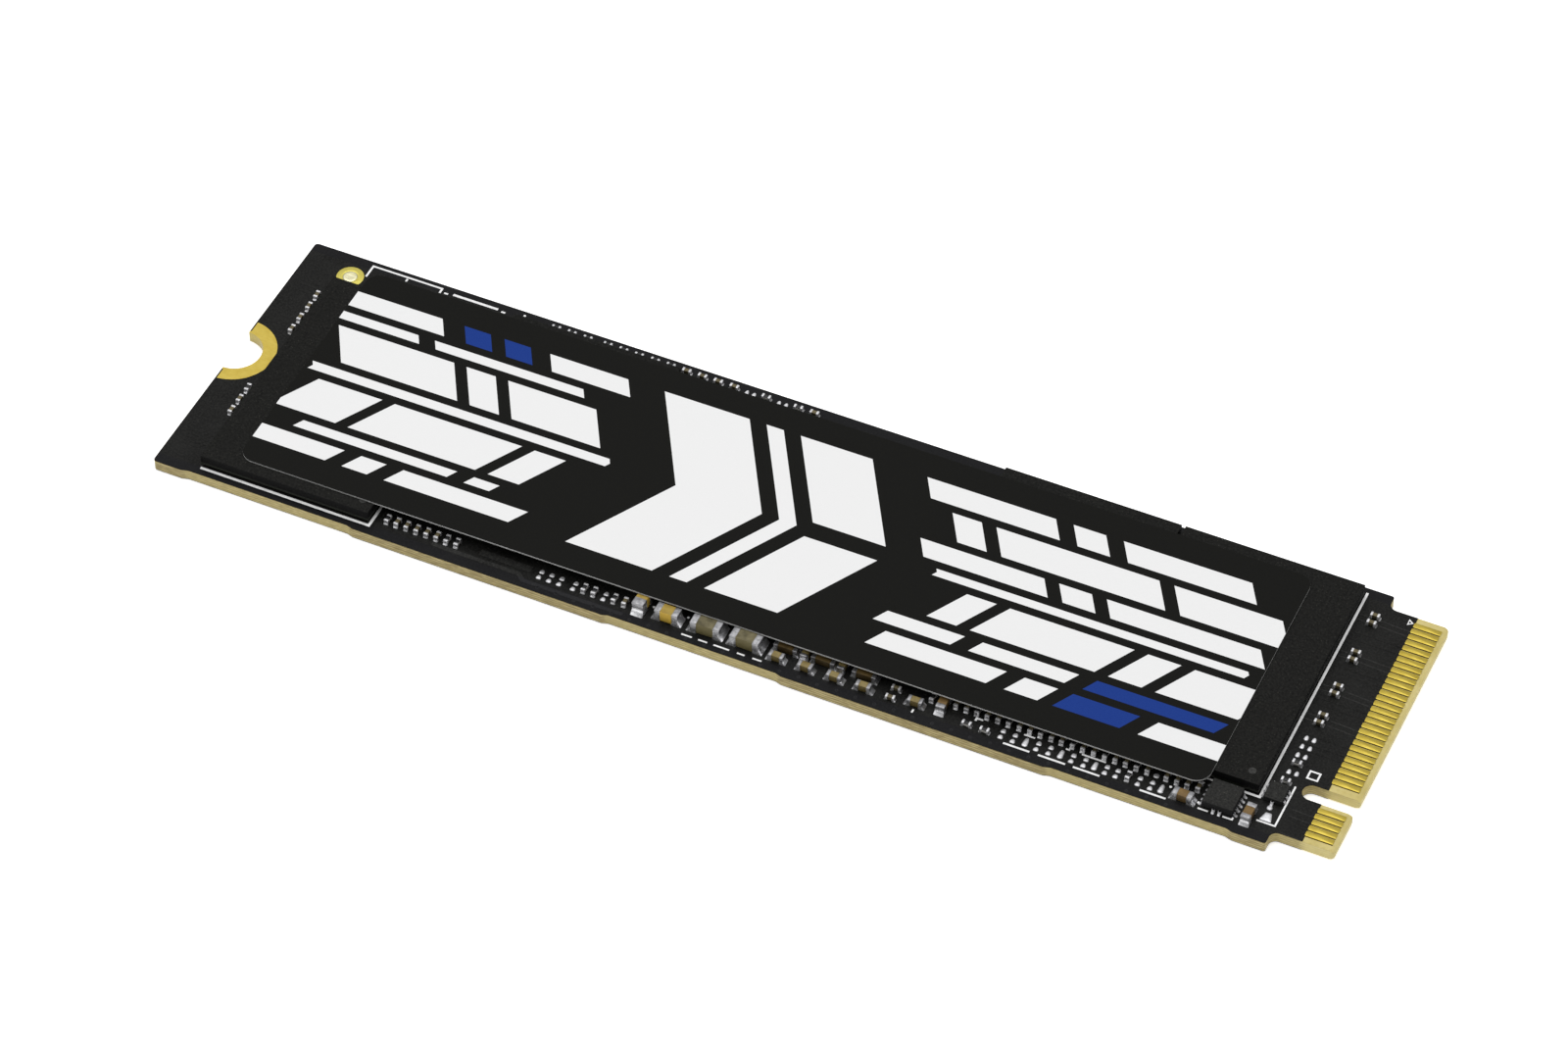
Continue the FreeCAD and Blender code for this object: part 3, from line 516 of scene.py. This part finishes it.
# painted light: a paler, less metallic copy of the tin for the smallest parts' ends, lit as if the label's
# overhang cast no shade on them
TIN_PAINTED_LIGHT = tin("tin_ends_painted_light", 190, 228, 0.4, 0.6)
SOLDER = tin("solder", 206, 240, 0.24, 0.92)
PAD_SOLDER = tin("pad_solder", 196, 222, 0.42, 0.8)
BALL_SOLDER = tin("solder_balls", 170, 200, 0.35)
COMPOUND = mould_compound("mould_compound", 15)
PIN_MARK = mould_compound("pin_mark", 52)
CHIP_COMPOUND = mould_compound("chip_mould_compound", 34)
SUBSTRATE = ceramic("package_substrate", (30, 34, 26), (44, 46, 32), 0.5, 0.2)
SILICON = ceramic("silicon", (70, 72, 78), (88, 90, 98), 0.15, 0.6)
GREY_PASTE = ceramic("heat_compound", (150, 150, 148), (176, 176, 172), 0.7, 0.2)
NICKEL = metal("nickel", (176, 174, 168), (206, 204, 198), 0.3, 0.06)
# large capacitor ceramic: upright faces painted paler than the top, as painted light
YELLOW_CERAMIC = ceramic("capacitor_ceramic_yellow", (150, 124, 48), (174, 148, 66), side=LARGE_SIDE_LIGHT_SHARE)
TAN_CERAMIC = ceramic("capacitor_ceramic_tan", (112, 96, 50), (136, 120, 74))
OLIVE_CERAMIC = ceramic("capacitor_ceramic_olive", (84, 76, 52), (108, 98, 70))
# large capacitor ceramic: upright faces painted paler than the top, as painted light
GREY_CERAMIC = ceramic("capacitor_ceramic_grey", (78, 72, 46), (114, 106, 76), side=LARGE_SIDE_LIGHT_SHARE)
RED_CERAMIC = ceramic("capacitor_ceramic_red", (106, 82, 42), (124, 98, 56))
BROWN_CERAMIC = ceramic("brown_ceramic", (70, 55, 22), (94, 74, 34))
ALUMINA = ceramic("alumina", (206, 204, 198), (226, 224, 220), 0.4)
RESISTOR_COAT = ceramic("resistor_coat", (22, 22, 24), (34, 34, 36), 0.3)
FERRITE = ceramic("ferrite", (58, 56, 56), (74, 72, 70), 0.55, 0.25)
CRYSTAL_CERAMIC = ceramic("crystal_ceramic", (74, 66, 60), (92, 82, 74))
ADHESIVE = ceramic("adhesive", (196, 196, 190), (212, 212, 206), 0.4, 0.3)
FOIL = ceramic("foil_edge", (196, 196, 196), (222, 222, 222), 0.5, 0.3)
LABEL_BLACK = label_ink("label_black", (22, 22, 20), 3, 196)
LABEL_WHITE = label_ink("label_white", (235, 235, 235), 2)
LABEL_BLUE = label_ink("label_blue", (31, 60, 136), 5)


# ======== mesh helpers
def new_object(name, data):
    made = bpy.data.objects.new(name, data)
    bpy.context.scene.collection.objects.link(made)
    return made


def mesh_object(name, shape, materials):
    """A new object made of the shape, which is used up."""
    mesh = bpy.data.meshes.new(name)
    shape.to_mesh(mesh)
    shape.free()
    for material in materials:
        mesh.materials.append(material)
    return new_object(name, mesh)


def piece(name, shape, materials, slot, *nodes):
    """One object of the shape, riding on the card, in place of the CAD nodes that it stands for."""
    bmesh.ops.recalc_face_normals(shape, faces=shape.faces)
    made = mesh_object(name, shape, materials)
    made.data.shade_smooth()
    made.data.set_sharp_from_angle(angle=SHARP_ANGLE)
    weighted = made.modifiers.new("flat faces stay flat", "WEIGHTED_NORMAL")
    weighted.keep_sharp = True
    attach(made, "root")
    if nodes:
        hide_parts(*nodes)


def cad_shape(node):
    """A CAD node's shape with its triangles joined into flat faces."""
    shape = bmesh.new()
    shape.from_mesh(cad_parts[node].data)
    bmesh.ops.remove_doubles(shape, verts=shape.verts, dist=SAME_POINT)
    bmesh.ops.dissolve_limit(shape, angle_limit=FLAT_ANGLE, verts=shape.verts, edges=shape.edges)
    return shape


def bevelled(shape, edges, width, segments):
    """Rounds edges over by that width."""
    return bmesh.ops.bevel(shape, geom=edges, offset=width * MM, segments=segments, affect="EDGES",
                           profile=0.5, clamp_overlap=True)


def soften(shape, width, segments=2):
    """Rounds every sharp edge over by that width."""
    edges = [e for e in shape.edges if e.is_manifold and e.calc_face_angle() > SHARP_ANGLE]
    bevelled(shape, edges, width, segments)


def softened(node, width, material, slot, segments=2):
    """A CAD node with its edges rounded over, as a new piece in its place."""
    shape = cad_shape(node)
    soften(shape, width, segments)
    piece(node + "_finished", shape, [material], slot, node)


def islands(node):
    """The box of each separate solid of a node, as its lowest and highest corners on the drawing."""
    shape = cad_shape(node)
    shape.verts.ensure_lookup_table()
    seen = set()
    boxes = []
    for start in shape.verts:
        if start.index in seen:
            continue
        seen.add(start.index)
        todo = [start]
        points = []
        while todo:
            vert = todo.pop()
            points.append((vert.co - CARD_CORNER) / MM)
            for edge in vert.link_edges:
                other = edge.other_vert(vert)
                if other.index not in seen:
                    seen.add(other.index)
                    todo.append(other)
        low = Vector([min(p[i] for p in points) for i in range(3)])
        high = Vector([max(p[i] for p in points) for i in range(3)])
        boxes.append((low, high))
    shape.free()
    return boxes


def outline(low_x, high_x, low_y, high_y, radius, steps=4):
    """The points round a rectangle with rounded corners."""
    radius = min(radius, (high_x - low_x) / 2.001, (high_y - low_y) / 2.001)
    corners = [(high_x - radius, high_y - radius), (low_x + radius, high_y - radius),
               (low_x + radius, low_y + radius), (high_x - radius, low_y + radius)]
    points = []
    for quarter, (x, y) in enumerate(corners):
        for step in range(steps + 1):
            angle = (quarter + step / steps) * math.pi / 2
            points.append((x + radius * math.cos(angle), y + radius * math.sin(angle)))
    return points


def loft(shape, rings, material=0):
    """A closed solid through rings of as many points each, from the lowest up."""
    rows = [[shape.verts.new(point) for point in ring] for ring in rings]
    count = len(rows[0])
    faces = [shape.faces.new(list(reversed(rows[0]))), shape.faces.new(rows[-1])]
    for below, above in zip(rows, rows[1:]):
        for i in range(count):
            j = (i + 1) % count
            faces.append(shape.faces.new((below[i], below[j], above[j], above[i])))
    for face in faces:
        face.material_index = material
    return [vert for row in rows for vert in row]


def extent(points):
    """The lowest and highest X and the lowest and highest Y of an outline."""
    across, up = zip(*points)
    return min(across), max(across), min(up), max(up)


def shrunk(points, inset):
    """The outline moved in towards its middle along each axis by that much."""
    low_x, high_x, low_y, high_y = extent(points)
    middle_x, middle_y = (low_x + high_x) / 2, (low_y + high_y) / 2
    scale_x = 1 - 2 * inset / (high_x - low_x)
    scale_y = 1 - 2 * inset / (high_y - low_y)
    return [(middle_x + (x - middle_x) * scale_x, middle_y + (y - middle_y) * scale_y) for x, y in points]


def tapered(points, narrowing):
    """The outline made narrower towards its far side, by that share of its width."""
    low_x, high_x, low_y, high_y = extent(points)
    middle = (low_x + high_x) / 2
    return [(middle + (x - middle) * (1 - narrowing * (y - low_y) / (high_y - low_y)), y)
            for x, y in points]


def plate(shape, points, low_z, high_z, round_edge, material=0):
    """A flat plate of that outline with a rounded upper edge."""
    levels = [(0, low_z), (0, high_z - round_edge), (round_edge * 0.3, high_z - round_edge * 0.3),
              (round_edge, high_z)]
    rings = [[at(x, y, z) for x, y in shrunk(points, inset)] for inset, z in levels]
    loft(shape, rings, material)


def turned(shape, x, y, profile, material=0, steps=48):
    """A solid turned about an upright axis, through pairs of radius and height."""
    angles = [i * 2 * math.pi / steps for i in range(steps)]
    rings = [[at(x + r * math.cos(a), y + r * math.sin(a), z) for a in angles] for r, z in profile]
    loft(shape, rings, material)


def rounded_box(shape, low, high, radius, material=0, segments=2):
    """A box with all its edges rounded, between two corners on the drawing."""
    middle = (low + high) / 2
    place = Matrix.Translation(at(*middle)) @ Matrix.Diagonal((*((high - low) * MM), 1))
    verts = bmesh.ops.create_cube(shape, size=1, matrix=place)["verts"]
    edges = list({edge for vert in verts for edge in vert.link_edges})
    made = bevelled(shape, edges, radius, segments)
    faces = {face for vert in made["verts"] for face in vert.link_faces}
    for face in faces:
        face.material_index = material
    return list({vert for face in faces for vert in face.verts})


def nudge(verts, middle, turn, shift):
    """Turns points about an upright axis and shifts them, as a part set down by a machine lies."""
    move = (Matrix.Translation(middle + Vector((shift[0], shift[1], 0)) * MM)
            @ Matrix.Rotation(turn, 4, "Z") @ Matrix.Translation(-middle))
    for vert in verts:
        vert.co = move @ vert.co


# ======== card
def fingers(node, slack, lip, rounds, up):
    """Contacts with rounded ends, the mask's side of each a little over the mask's edge.

    Each has a painted shadow along its foot: a dark strip where the contact's near wall stands in shade."""
    shape = bmesh.new()
    draw = random.Random(node)
    contact_round, shadow_round = rounds
    near_inset, far_inset = SHADOW_INSETS
    for low, high in islands(node):
        start = low.x - slack * draw.uniform(*SLACK_SPREAD)
        points = outline(start, high.x, low.y, high.y + FAR_FLANK, CONTACT_CORNER)
        # painted shadow: a dark strip along the contact's near foot
        foot = outline(start + near_inset, high.x - far_inset, low.y - SHADOW_FLANK, low.y + SHADOW_FLANK, SHADOW_CORNER)
        if up:
            plate(shape, points, low.z, high.z + lip, contact_round)
            plate(shape, foot, low.z - SHADOW_SINK, low.z + SHADOW_RISE, shadow_round, 1)
        else:
            plate(shape, points, low.z - lip, high.z, contact_round)
            plate(shape, foot, high.z - SHADOW_RISE, high.z + SHADOW_SINK, shadow_round, 1)
    piece(node + "_finished", shape, [FINGER_GOLD, CONTACT_SHADOW], "gold", node)


def trace(shape, points, width, face, material):
    """A copper track under the mask: a strip of that width with mitred turns.

    face is the level that it stands on and how far it rises from there."""
    base, rise = face
    sides = []
    points = [Vector(p) for p in points]
    for i, point in enumerate(points):
        before = (point - points[i - 1]).normalized() if i else (points[1] - point).normalized()
        after = (points[i + 1] - point).normalized() if i + 1 < len(points) else before
        across = Vector((-(before + after).y, (before + after).x)).normalized()
        stretch = 1 / max(across.dot(Vector((-before.y, before.x))), 0.5)
        sides.append(across * stretch)
    rows = []
    for half, z in ((width / 2, base), (width / 2 - abs(rise) * TRACE_SLOPE, base + rise)):
        left = [point + side * half for point, side in zip(points, sides)]
        right = [point - side * half for point, side in zip(points, sides)]
        rows.append([at(p.x, p.y, z) for p in left + right[::-1]])
    loft(shape, rows, material)


def via(shape, x, y, face, material, radius=VIA_R):
    """A plated hole under the mask: a low ring with a dimple."""
    base, rise = face
    profile = [(radius * share, base + rise * lift) for share, lift in VIA_PROFILE]
    turned(shape, x, y, profile, material, steps=16)


def track(shape, y, spec, face, material):
    """A short track along X, from its start at that Y."""
    start, end, lean, width = spec
    trace(shape, [(start, y), (end, y + lean)], width, face, material)


def via_row(shape, row, face, material, radius):
    """A straight row of vias."""
    (x, y), (step_x, step_y), count = row
    for i in range(count):
        via(shape, x + i * step_x, y + i * step_y, face, material, radius)


def bus(shape, spec, face, material):
    """Parallel tracks along X that all step sideways at 45 degrees once."""
    (x, y), count, pitch, run, jog, end, width = spec
    for i in range(count):
        line_y = y + i * pitch
        turn_x = x + run - i * pitch * math.tan(math.pi / 8) * math.copysign(1, jog)
        points = [(x, line_y), (turn_x, line_y), (turn_x + abs(jog), line_y + jog), (end, line_y + jog)]
        trace(shape, points, width, face, material)


def top_mask():
    """The upper mask, lifted by the tracks and vias that run under it."""
    shape = cad_shape("solder_mask_top")
    soften(shape, SKIN_ROUND, 1)
    face = (CARD_TOP - COPPER_SINK, TRACE_RISE + COPPER_SINK)
    for middle in PAIR_MIDDLES:
        for y in (middle - PAIR_HALF_GAP, middle + PAIR_HALF_GAP):
            for spec in PAIR_TRACKS:
                track(shape, y, spec, face, ON_COPPER)
    for y in CONTACT_TRACKS_Y:
        track(shape, y, CONTACT_TRACK, face, PLAIN)
        via(shape, CONTACT_VIA_X, y + CONTACT_VIA_SHIFT, face, PLAIN)
    for spec in TOP_BUSES:
        bus(shape, spec, face, PLAIN)
    for row in CORNER_VIAS:
        via_row(shape, row, face, PLAIN, CORNER_VIA_R)
    (x, y), step, count, waver, turn = EDGE_VIAS
    for i in range(count):
        via(shape, x + step * i, y + waver * math.sin(i * turn), face, ON_COPPER, EDGE_VIA_R)
    for width, points in POWER_TRACKS:
        trace(shape, points, width, face, ON_COPPER)
    for y in KEY_TRACKS_Y:
        track(shape, y, KEY_TRACK, face, ON_COPPER)
    piece("solder_mask_top_finished", shape, [MASK, MASK_ON_COPPER], "solder_mask", "solder_mask_top")


def bottom_mask():
    """The lower mask over buses of tracks, and over a field, columns and rows of vias."""
    shape = cad_shape("solder_mask_bottom")
    soften(shape, SKIN_ROUND, 1)
    face = (COPPER_SINK, -(TRACE_RISE + COPPER_SINK))
    draw = random.Random("underside")
    for spec in BOTTOM_BUSES:
        bus(shape, spec, face, ON_COPPER)
    x, y, pitch, count, share = VIA_FIELD
    for column in range(count):
        for line in range(count):
            if draw.random() < share:
                via(shape, x + column * pitch, y + line * pitch, face, ON_COPPER)
    y, step, count, stray = VIA_COLUMN
    for x in VIA_COLUMNS_X:
        for i in range(count):
            via(shape, x + draw.uniform(-stray, stray), y + i * step, face, ON_COPPER)
    for row in BOTTOM_EDGE_VIAS:
        via_row(shape, row, face, ON_COPPER, BOTTOM_EDGE_VIA_R)
    piece("solder_mask_bottom_finished", shape, [MASK, MASK_ON_COPPER], "solder_mask",
          "solder_mask_bottom")


def ground_pad():
    """A round gold pad with a raised ring, and a flat drop of solder within it."""
    (low, high), = islands("ground_pad")
    x, y = (low.x + high.x) / 2, (low.y + high.y) / 2
    radius = (high.x - low.x) / 2
    rim_in, rim_down = RIM_ROUND
    rim = [(radius, low.z), (radius, CARD_TOP - rim_down), (radius - rim_in, CARD_TOP)]
    gold_part = bmesh.new()
    turned(gold_part, x, y, rim + [(r, CARD_TOP + rise) for r, rise in RIDGE_PROFILE])
    piece("ground_pad_finished", gold_part, [PAD_GOLD], "gold", "ground_pad")
    drop = bmesh.new()
    turned(drop, x, y, [(r, CARD_TOP + rise) for r, rise in DROP_PROFILE])
    piece("ground_pad_drop", drop, [PALE_GOLD], "gold")


def card():
    softened("circuit_board", LAMINATE_ROUND, LAMINATE, "laminate")
    top_mask()
    bottom_mask()
    softened("notch_plating", SKIN_ROUND, RING_GOLD, "gold")
    ground_pad()
    fingers("edge_contacts_top", CONTACT_SLACK, TOP_LIP, TOP_ROUNDS, True)
    fingers("edge_contacts_bottom", 0.0, BOTTOM_LIP, BOTTOM_ROUNDS, False)
    softened("silkscreen", INK_ROUND, BOARD_INK, "silkscreen_ink")


# ======== solder and chip parts
def solder_fillet(shape, low, high, out, climb, reach, spread):
    """Solder that climbs an end and runs out over its pad, hollow as melted metal lies.

    low and high are the end's box, and out is the direction away from the part's body. The solder
    stands out from it by reach on that side, and by spread on the sides next to it."""
    rings = []
    for step in range(FILLET_STEPS + 1):
        rise = step / FILLET_STEPS
        flare = (1 - rise) ** FILLET_HOLLOW
        grow_x, grow_y = [(reach if along else spread) * flare for along in (out.x, out.y)]
        low_x = low.x - (grow_x if out.x <= 0 else 0)
        high_x = high.x + (grow_x if out.x >= 0 else 0)
        low_y = low.y - (grow_y if out.y <= 0 else 0)
        high_y = high.y + (grow_y if out.y >= 0 else 0)
        z = CARD_TOP + climb * rise
        rings.append([at(x, y, z) for x, y in outline(low_x, high_x, low_y, high_y, FILLET_CORNER)])
    return loft(shape, rings)


def chip_ends(body, ends):
    """The two ends that touch a body, with the direction from the body to each."""
    middle = (body[0] + body[1]) / 2
    nearest = sorted(ends, key=lambda end: ((end[0] + end[1]) / 2 - middle).length)[:2]
    found = []
    for low, high in nearest:
        away = (low + high) / 2 - middle
        if abs(away.x) > abs(away.y):
            found.append((low, high, Vector((math.copysign(1, away.x), 0, 0))))
        else:
            found.append((low, high, Vector((0, math.copysign(1, away.y), 0))))
    return found


def body_box(low, high, along):
    """A body's box: in from its metal ends all round, and reaching into them along its length."""
    inset = Vector((BODY_INSET,) * 3)
    reach = Vector((0, 0, 0))
    reach[along] = BODY_INSET + BODY_REACH
    return low + inset - reach, high - inset + reach


def resistor_body(shape, low, high):
    """A white ceramic chip with a black glass coat on its top."""
    split = low.z + (high.z - low.z) * RESISTOR_CHIP
    verts = rounded_box(shape, low, Vector((high.x, high.y, split + COAT_OVERLAP)), RESISTOR_ROUND, 0)
    inset = Vector((COAT_INSET, COAT_INSET, 0))
    return verts + rounded_box(shape, Vector((low.x, low.y, split)) + inset, high - inset, COAT_ROUND, 1)


def ceramic_choice(kind, size):
    """The ceramic of a capacitor, by its kind and size."""
    if kind == "large":
        return YELLOW_CERAMIC if max(size.x, size.y) < SHORT_LARGE else GREY_CERAMIC
    if kind == "medium":
        return RED_CERAMIC if size.z > TALL_MEDIUM else TAN_CERAMIC
    return BROWN_CERAMIC if kind == "low" else OLIVE_CERAMIC


def chip_set(kind, name, materials, slot, end_material, solder):
    """All the parts of one kind: bodies, metal ends and the solder that holds them."""
    draw = random.Random(kind + name)
    bodies = bmesh.new()
    ends = bmesh.new()
    end_boxes = islands(f"{kind}_{name}_ends")
    for low, high in islands(f"{kind}_{name}_bodies"):
        found = chip_ends((low, high), end_boxes)
        box = body_box(low, high, 0 if found[0][2].x else 1)
        if name == "resistor":
            verts = resistor_body(bodies, *box)
        else:
            material = materials.index(ceramic_choice(kind, high - low))
            verts = rounded_box(bodies, *box, BODY_ROUND, material)
        solder_verts = []
        for end_low, end_high, out in found:
            height = end_high.z - end_low.z
            verts += rounded_box(ends, end_low, end_high, END_ROUND[kind], segments=3)
            climb = (end_low.z - CARD_TOP) + height * SOLDER_CLIMB * draw.uniform(*CLIMB_SPREAD)
            reach = SOLDER_REACH[kind] * draw.uniform(*REACH_SPREAD)
            solder_verts += solder_fillet(solder, end_low, end_high, out, climb, reach, SOLDER_SIDE[kind])
        middle = at(*((low + high) / 2))
        turn = draw.uniform(-TURN_SPREAD, TURN_SPREAD)
        shift = (draw.uniform(-SHIFT_SPREAD, SHIFT_SPREAD), draw.uniform(-SHIFT_SPREAD, SHIFT_SPREAD))
        nudge(verts, middle, turn, shift)
        nudge(solder_verts, middle, turn * SOLDER_TURN, shift)
    piece(f"{kind}_{name}_ceramics", bodies, materials, slot, f"{kind}_{name}_bodies")
    piece(f"{kind}_{name}_caps", ends, [end_material], "tin", f"{kind}_{name}_ends")


def chip_parts():
    solder = bmesh.new()
    # the smallest parts' ends take the tin with painted light
    chip_set("small", "capacitor", [OLIVE_CERAMIC], "capacitor_ceramic", TIN_PAINTED_LIGHT, solder)
    chip_set("medium", "capacitor", [TAN_CERAMIC, RED_CERAMIC], "capacitor_ceramic", TIN, solder)
    chip_set("low", "capacitor", [BROWN_CERAMIC], "brown_ceramic", TIN, solder)
    chip_set("large", "capacitor", [YELLOW_CERAMIC, GREY_CERAMIC], "capacitor_ceramic", TIN, solder)
    chip_set("small", "resistor", [ALUMINA, RESISTOR_COAT], "resistor_body", TIN_PAINTED_LIGHT, solder)
    piece("solder_fillets", solder, [SOLDER], "tin", "solder_joints")


def inductors():
    """Moulded power inductors with wrapped metal ends."""
    cores = bmesh.new()
    for low, high in islands("inductor_cores"):
        rounded_box(cores, low - CORE_REACH, high + CORE_REACH, CORE_ROUND, segments=3)
    ends = bmesh.new()
    for low, high in islands("inductor_ends"):
        rounded_box(ends, low - WRAP_LOW, high + WRAP_HIGH, WRAP_ROUND, segments=3)
    piece("inductor_mouldings", cores, [FERRITE], "ferrite", "inductor_cores")
    piece("inductor_terminals", ends, [TIN], "tin", "inductor_ends")


def bare_pads():
    """Domes of solder on the pads that carry no part."""
    draw = random.Random("bare pads")
    shape = bmesh.new()
    for low, high in islands("bare_solder_pads"):
        height = (high.z - low.z) * draw.uniform(*DOME_SPREAD)
        length, width = high.x - low.x, high.y - low.y
        size = min(length, width)
        corner, narrowing = WIDE_PAD_FORM if size >= WIDE_PAD else SMALL_PAD_FORM
        foot = outline(low.x, high.x, low.y, high.y, size * corner)
        if max(length, width) > OBLONG * size:
            foot = tapered(foot, narrowing)
        rings = []
        for step in range(DOME_STEPS + 1):
            angle = step / DOME_STEPS * DOME_ARC
            inset = (1 - math.cos(angle)) * size * DOME_INSET
            z = low.z + height * math.sin(angle)
            rings.append([at(x, y, z) for x, y in shrunk(foot, inset)])
        loft(shape, rings)
    piece("bare_pad_solder", shape, [PAD_SOLDER], "tin", "bare_solder_pads")


# ======== packages
def moulding(node):
    """A package's moulded body: sandy, with a paler mark for pin 1 let into its top."""
    shape = cad_shape(node)
    soften(shape, PACKAGE_ROUND, 3)
    top = max(vert.co.z for vert in shape.verts)
    shallowest, deepest = MARK_DEPTHS
    for face in shape.faces:
        depth = (top - face.calc_center_median().z) / MM
        if abs(face.normal.z) > LEVEL and shallowest < depth < deepest:
            face.material_index = 1
    piece(node + "_finished", shape, [COMPOUND, PIN_MARK], "mould_compound", node)


def carried_balls(node):
    """Solder balls stay the CAD's own, with a material."""
    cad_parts[node].data.materials[0] = BALL_SOLDER


def lead_joints(shape, name):
    """Drops of solder that run out from under a leadless chip, one at each lead."""
    (body_low, body_high), = islands(name + "_body")
    for low, high in islands(name + "_leads"):
        sides = [(body_low.x - low.x, Vector((-1, 0, 0))), (high.x - body_high.x, Vector((1, 0, 0))),
                 (body_low.y - low.y, Vector((0, -1, 0))), (high.y - body_high.y, Vector((0, 1, 0)))]
        out = max(sides, key=lambda side: side[0])[1]
        solder_fillet(shape, low, high, out, high.z - CARD_TOP, LEAD_REACH, 0.0)


def packages():
    """Moulded memory and cache, the lidded controller, the leadless chips and the crystal."""
    for name, number in [("memory", f"_{i}") for i in range(1, 5)] + [("cache", "")]:
        moulding(f"{name}_body{number}")
        softened(f"{name}_substrate{number}", SUBSTRATE_ROUND, SUBSTRATE, "package_substrate")
        carried_balls(f"{name}_balls{number}")
    softened("controller_lid", LID_ROUND, NICKEL, "nickel", 3)
    softened("controller_substrate", SUBSTRATE_ROUND, SUBSTRATE, "package_substrate")
    softened("controller_die", SUBSTRATE_ROUND, SILICON, "silicon")
    softened("controller_heat_compound", SUBSTRATE_ROUND, GREY_PASTE, "heat_compound")
    carried_balls("controller_balls")
    joints = bmesh.new()
    for name in ("power_manager", "load_switch", "logic_chip"):
        softened(f"{name}_body", PACKAGE_ROUND, CHIP_COMPOUND, "mould_compound", 3)
        softened(f"{name}_leads", LEAD_ROUND, PAD_SOLDER, "tin")
        lead_joints(joints, name)
    piece("lead_solder", joints, [PAD_SOLDER], "tin")
    softened("crystal_base", LEAD_ROUND, CRYSTAL_CERAMIC, "crystal_ceramic")
    softened("crystal_lid", LEAD_ROUND, NICKEL, "nickel")


# ======== label
def label_point(u, v, z):
    """A point on the label, from its lower left corner, on the drawing of the card."""
    middle = ((LABEL_LOW + LABEL_HIGH) / 2 - CARD_CORNER) / MM
    x, y = u - LABEL_LENGTH / 2, v - LABEL_WIDTH / 2
    return (middle.x + x * math.cos(LABEL_TURN) - y * math.sin(LABEL_TURN),
            middle.y + x * math.sin(LABEL_TURN) + y * math.cos(LABEL_TURN), z)


def clipped(points, side):
    """The part of an outline that lies within the label's length: side 0 is its left end, 1 its right."""
    limit = side * LABEL_LENGTH

    def inside(point):
        return point[0] <= limit if side else point[0] >= limit

    kept = []
    for before, point in zip(points[-1:] + points[:-1], points):
        if inside(before) != inside(point):
            share = (limit - before[0]) / (point[0] - before[0])
            kept.append((limit, before[1] + share * (point[1] - before[1])))
        if inside(point):
            kept.append(point)
    return kept


def bar(shape, low, high, start, end):
    """A bar of ink whose ends slant back from the middle line, as arrowheads where it crosses that line.

    It is a hair thicker than the film, and cut off at the label's ends."""
    levels = [low, high]
    if low < ART_MIDDLE < high:
        levels.insert(1, ART_MIDDLE)
    right = [(end - LEAN * abs(v - ART_MIDDLE), v) for v in levels]
    left = [(start - LEAN * abs(v - ART_MIDDLE), v) for v in reversed(levels)]
    points = clipped(clipped(right + left, 0), 1)
    loft(shape, [[at(*label_point(u, v, LABEL_TOP + z)) for u, v in points] for z in (-INK_RISE, INK_RISE)])


def label():
    """Adhesive, foil and black film, with a plain pattern of slanted bars in white and blue on it."""
    softened("label_adhesive", FILM_ROUND, ADHESIVE, "adhesive")
    softened("label_foil", FILM_ROUND, FOIL, "foil")
    softened("label_film", FILM_ROUND, LABEL_BLACK, "label_print")
    for name, rows, ink in (("white", WHITE_ROWS, LABEL_WHITE), ("blue", BLUE_ROWS, LABEL_BLUE)):
        shape = bmesh.new()
        for low, high, spans in rows:
            for start, end in spans:
                bar(shape, low, high, start, end)
        piece(f"label_{name}_ink", shape, [ink], "label_print")


# ======== studio
def area_light(name, place, size, power):
    """A soft light aimed at the card."""
    data = bpy.data.lights.new(name, "AREA")
    data.shape = "RECTANGLE"
    data.size, data.size_y = size
    data.energy = power
    light = new_object(name, data)
    light.location = place
    light.rotation_euler = (-Vector(place)).to_track_quat("-Z", "Y").to_euler()


def studio():
    """A plain pale floor and soft light all round."""
    shape = bmesh.new()
    bmesh.ops.create_grid(shape, x_segments=1, y_segments=1, size=FLOOR_SIZE / 2,
                          matrix=Matrix.Translation((0, 0, FLOOR_Z)))
    floor = mesh_object("studio_floor", shape, [floor_finish()])
    for light in LIGHTS:
        area_light(*light)
    world = bpy.data.worlds.new("studio_world")
    world.use_nodes = True
    background = world.node_tree.nodes["Background"]
    background.inputs["Color"].default_value = (1, 1, 1, 1)
    background.inputs["Strength"].default_value = WORLD_STRENGTH
    bpy.context.scene.world = world
    bpy.context.scene.view_settings.view_transform = "Standard"


def camera():
    """The view from beyond the near edge, a long lens from the connector's side."""
    data = bpy.data.cameras.new("photo_view")
    data.lens = CAMERA_LENS
    data.sensor_width = SENSOR_WIDTH
    data.sensor_fit = "HORIZONTAL"
    data.clip_start = NEAREST_SEEN
    view = new_object("photo_view", data)
    view.location = CAMERA_PLACE
    view.rotation_euler = [math.radians(a) for a in CAMERA_TURN]
    bpy.context.scene.camera = view


camera()
studio()
card()
packages()
chip_parts()
inductors()
bare_pads()
label()
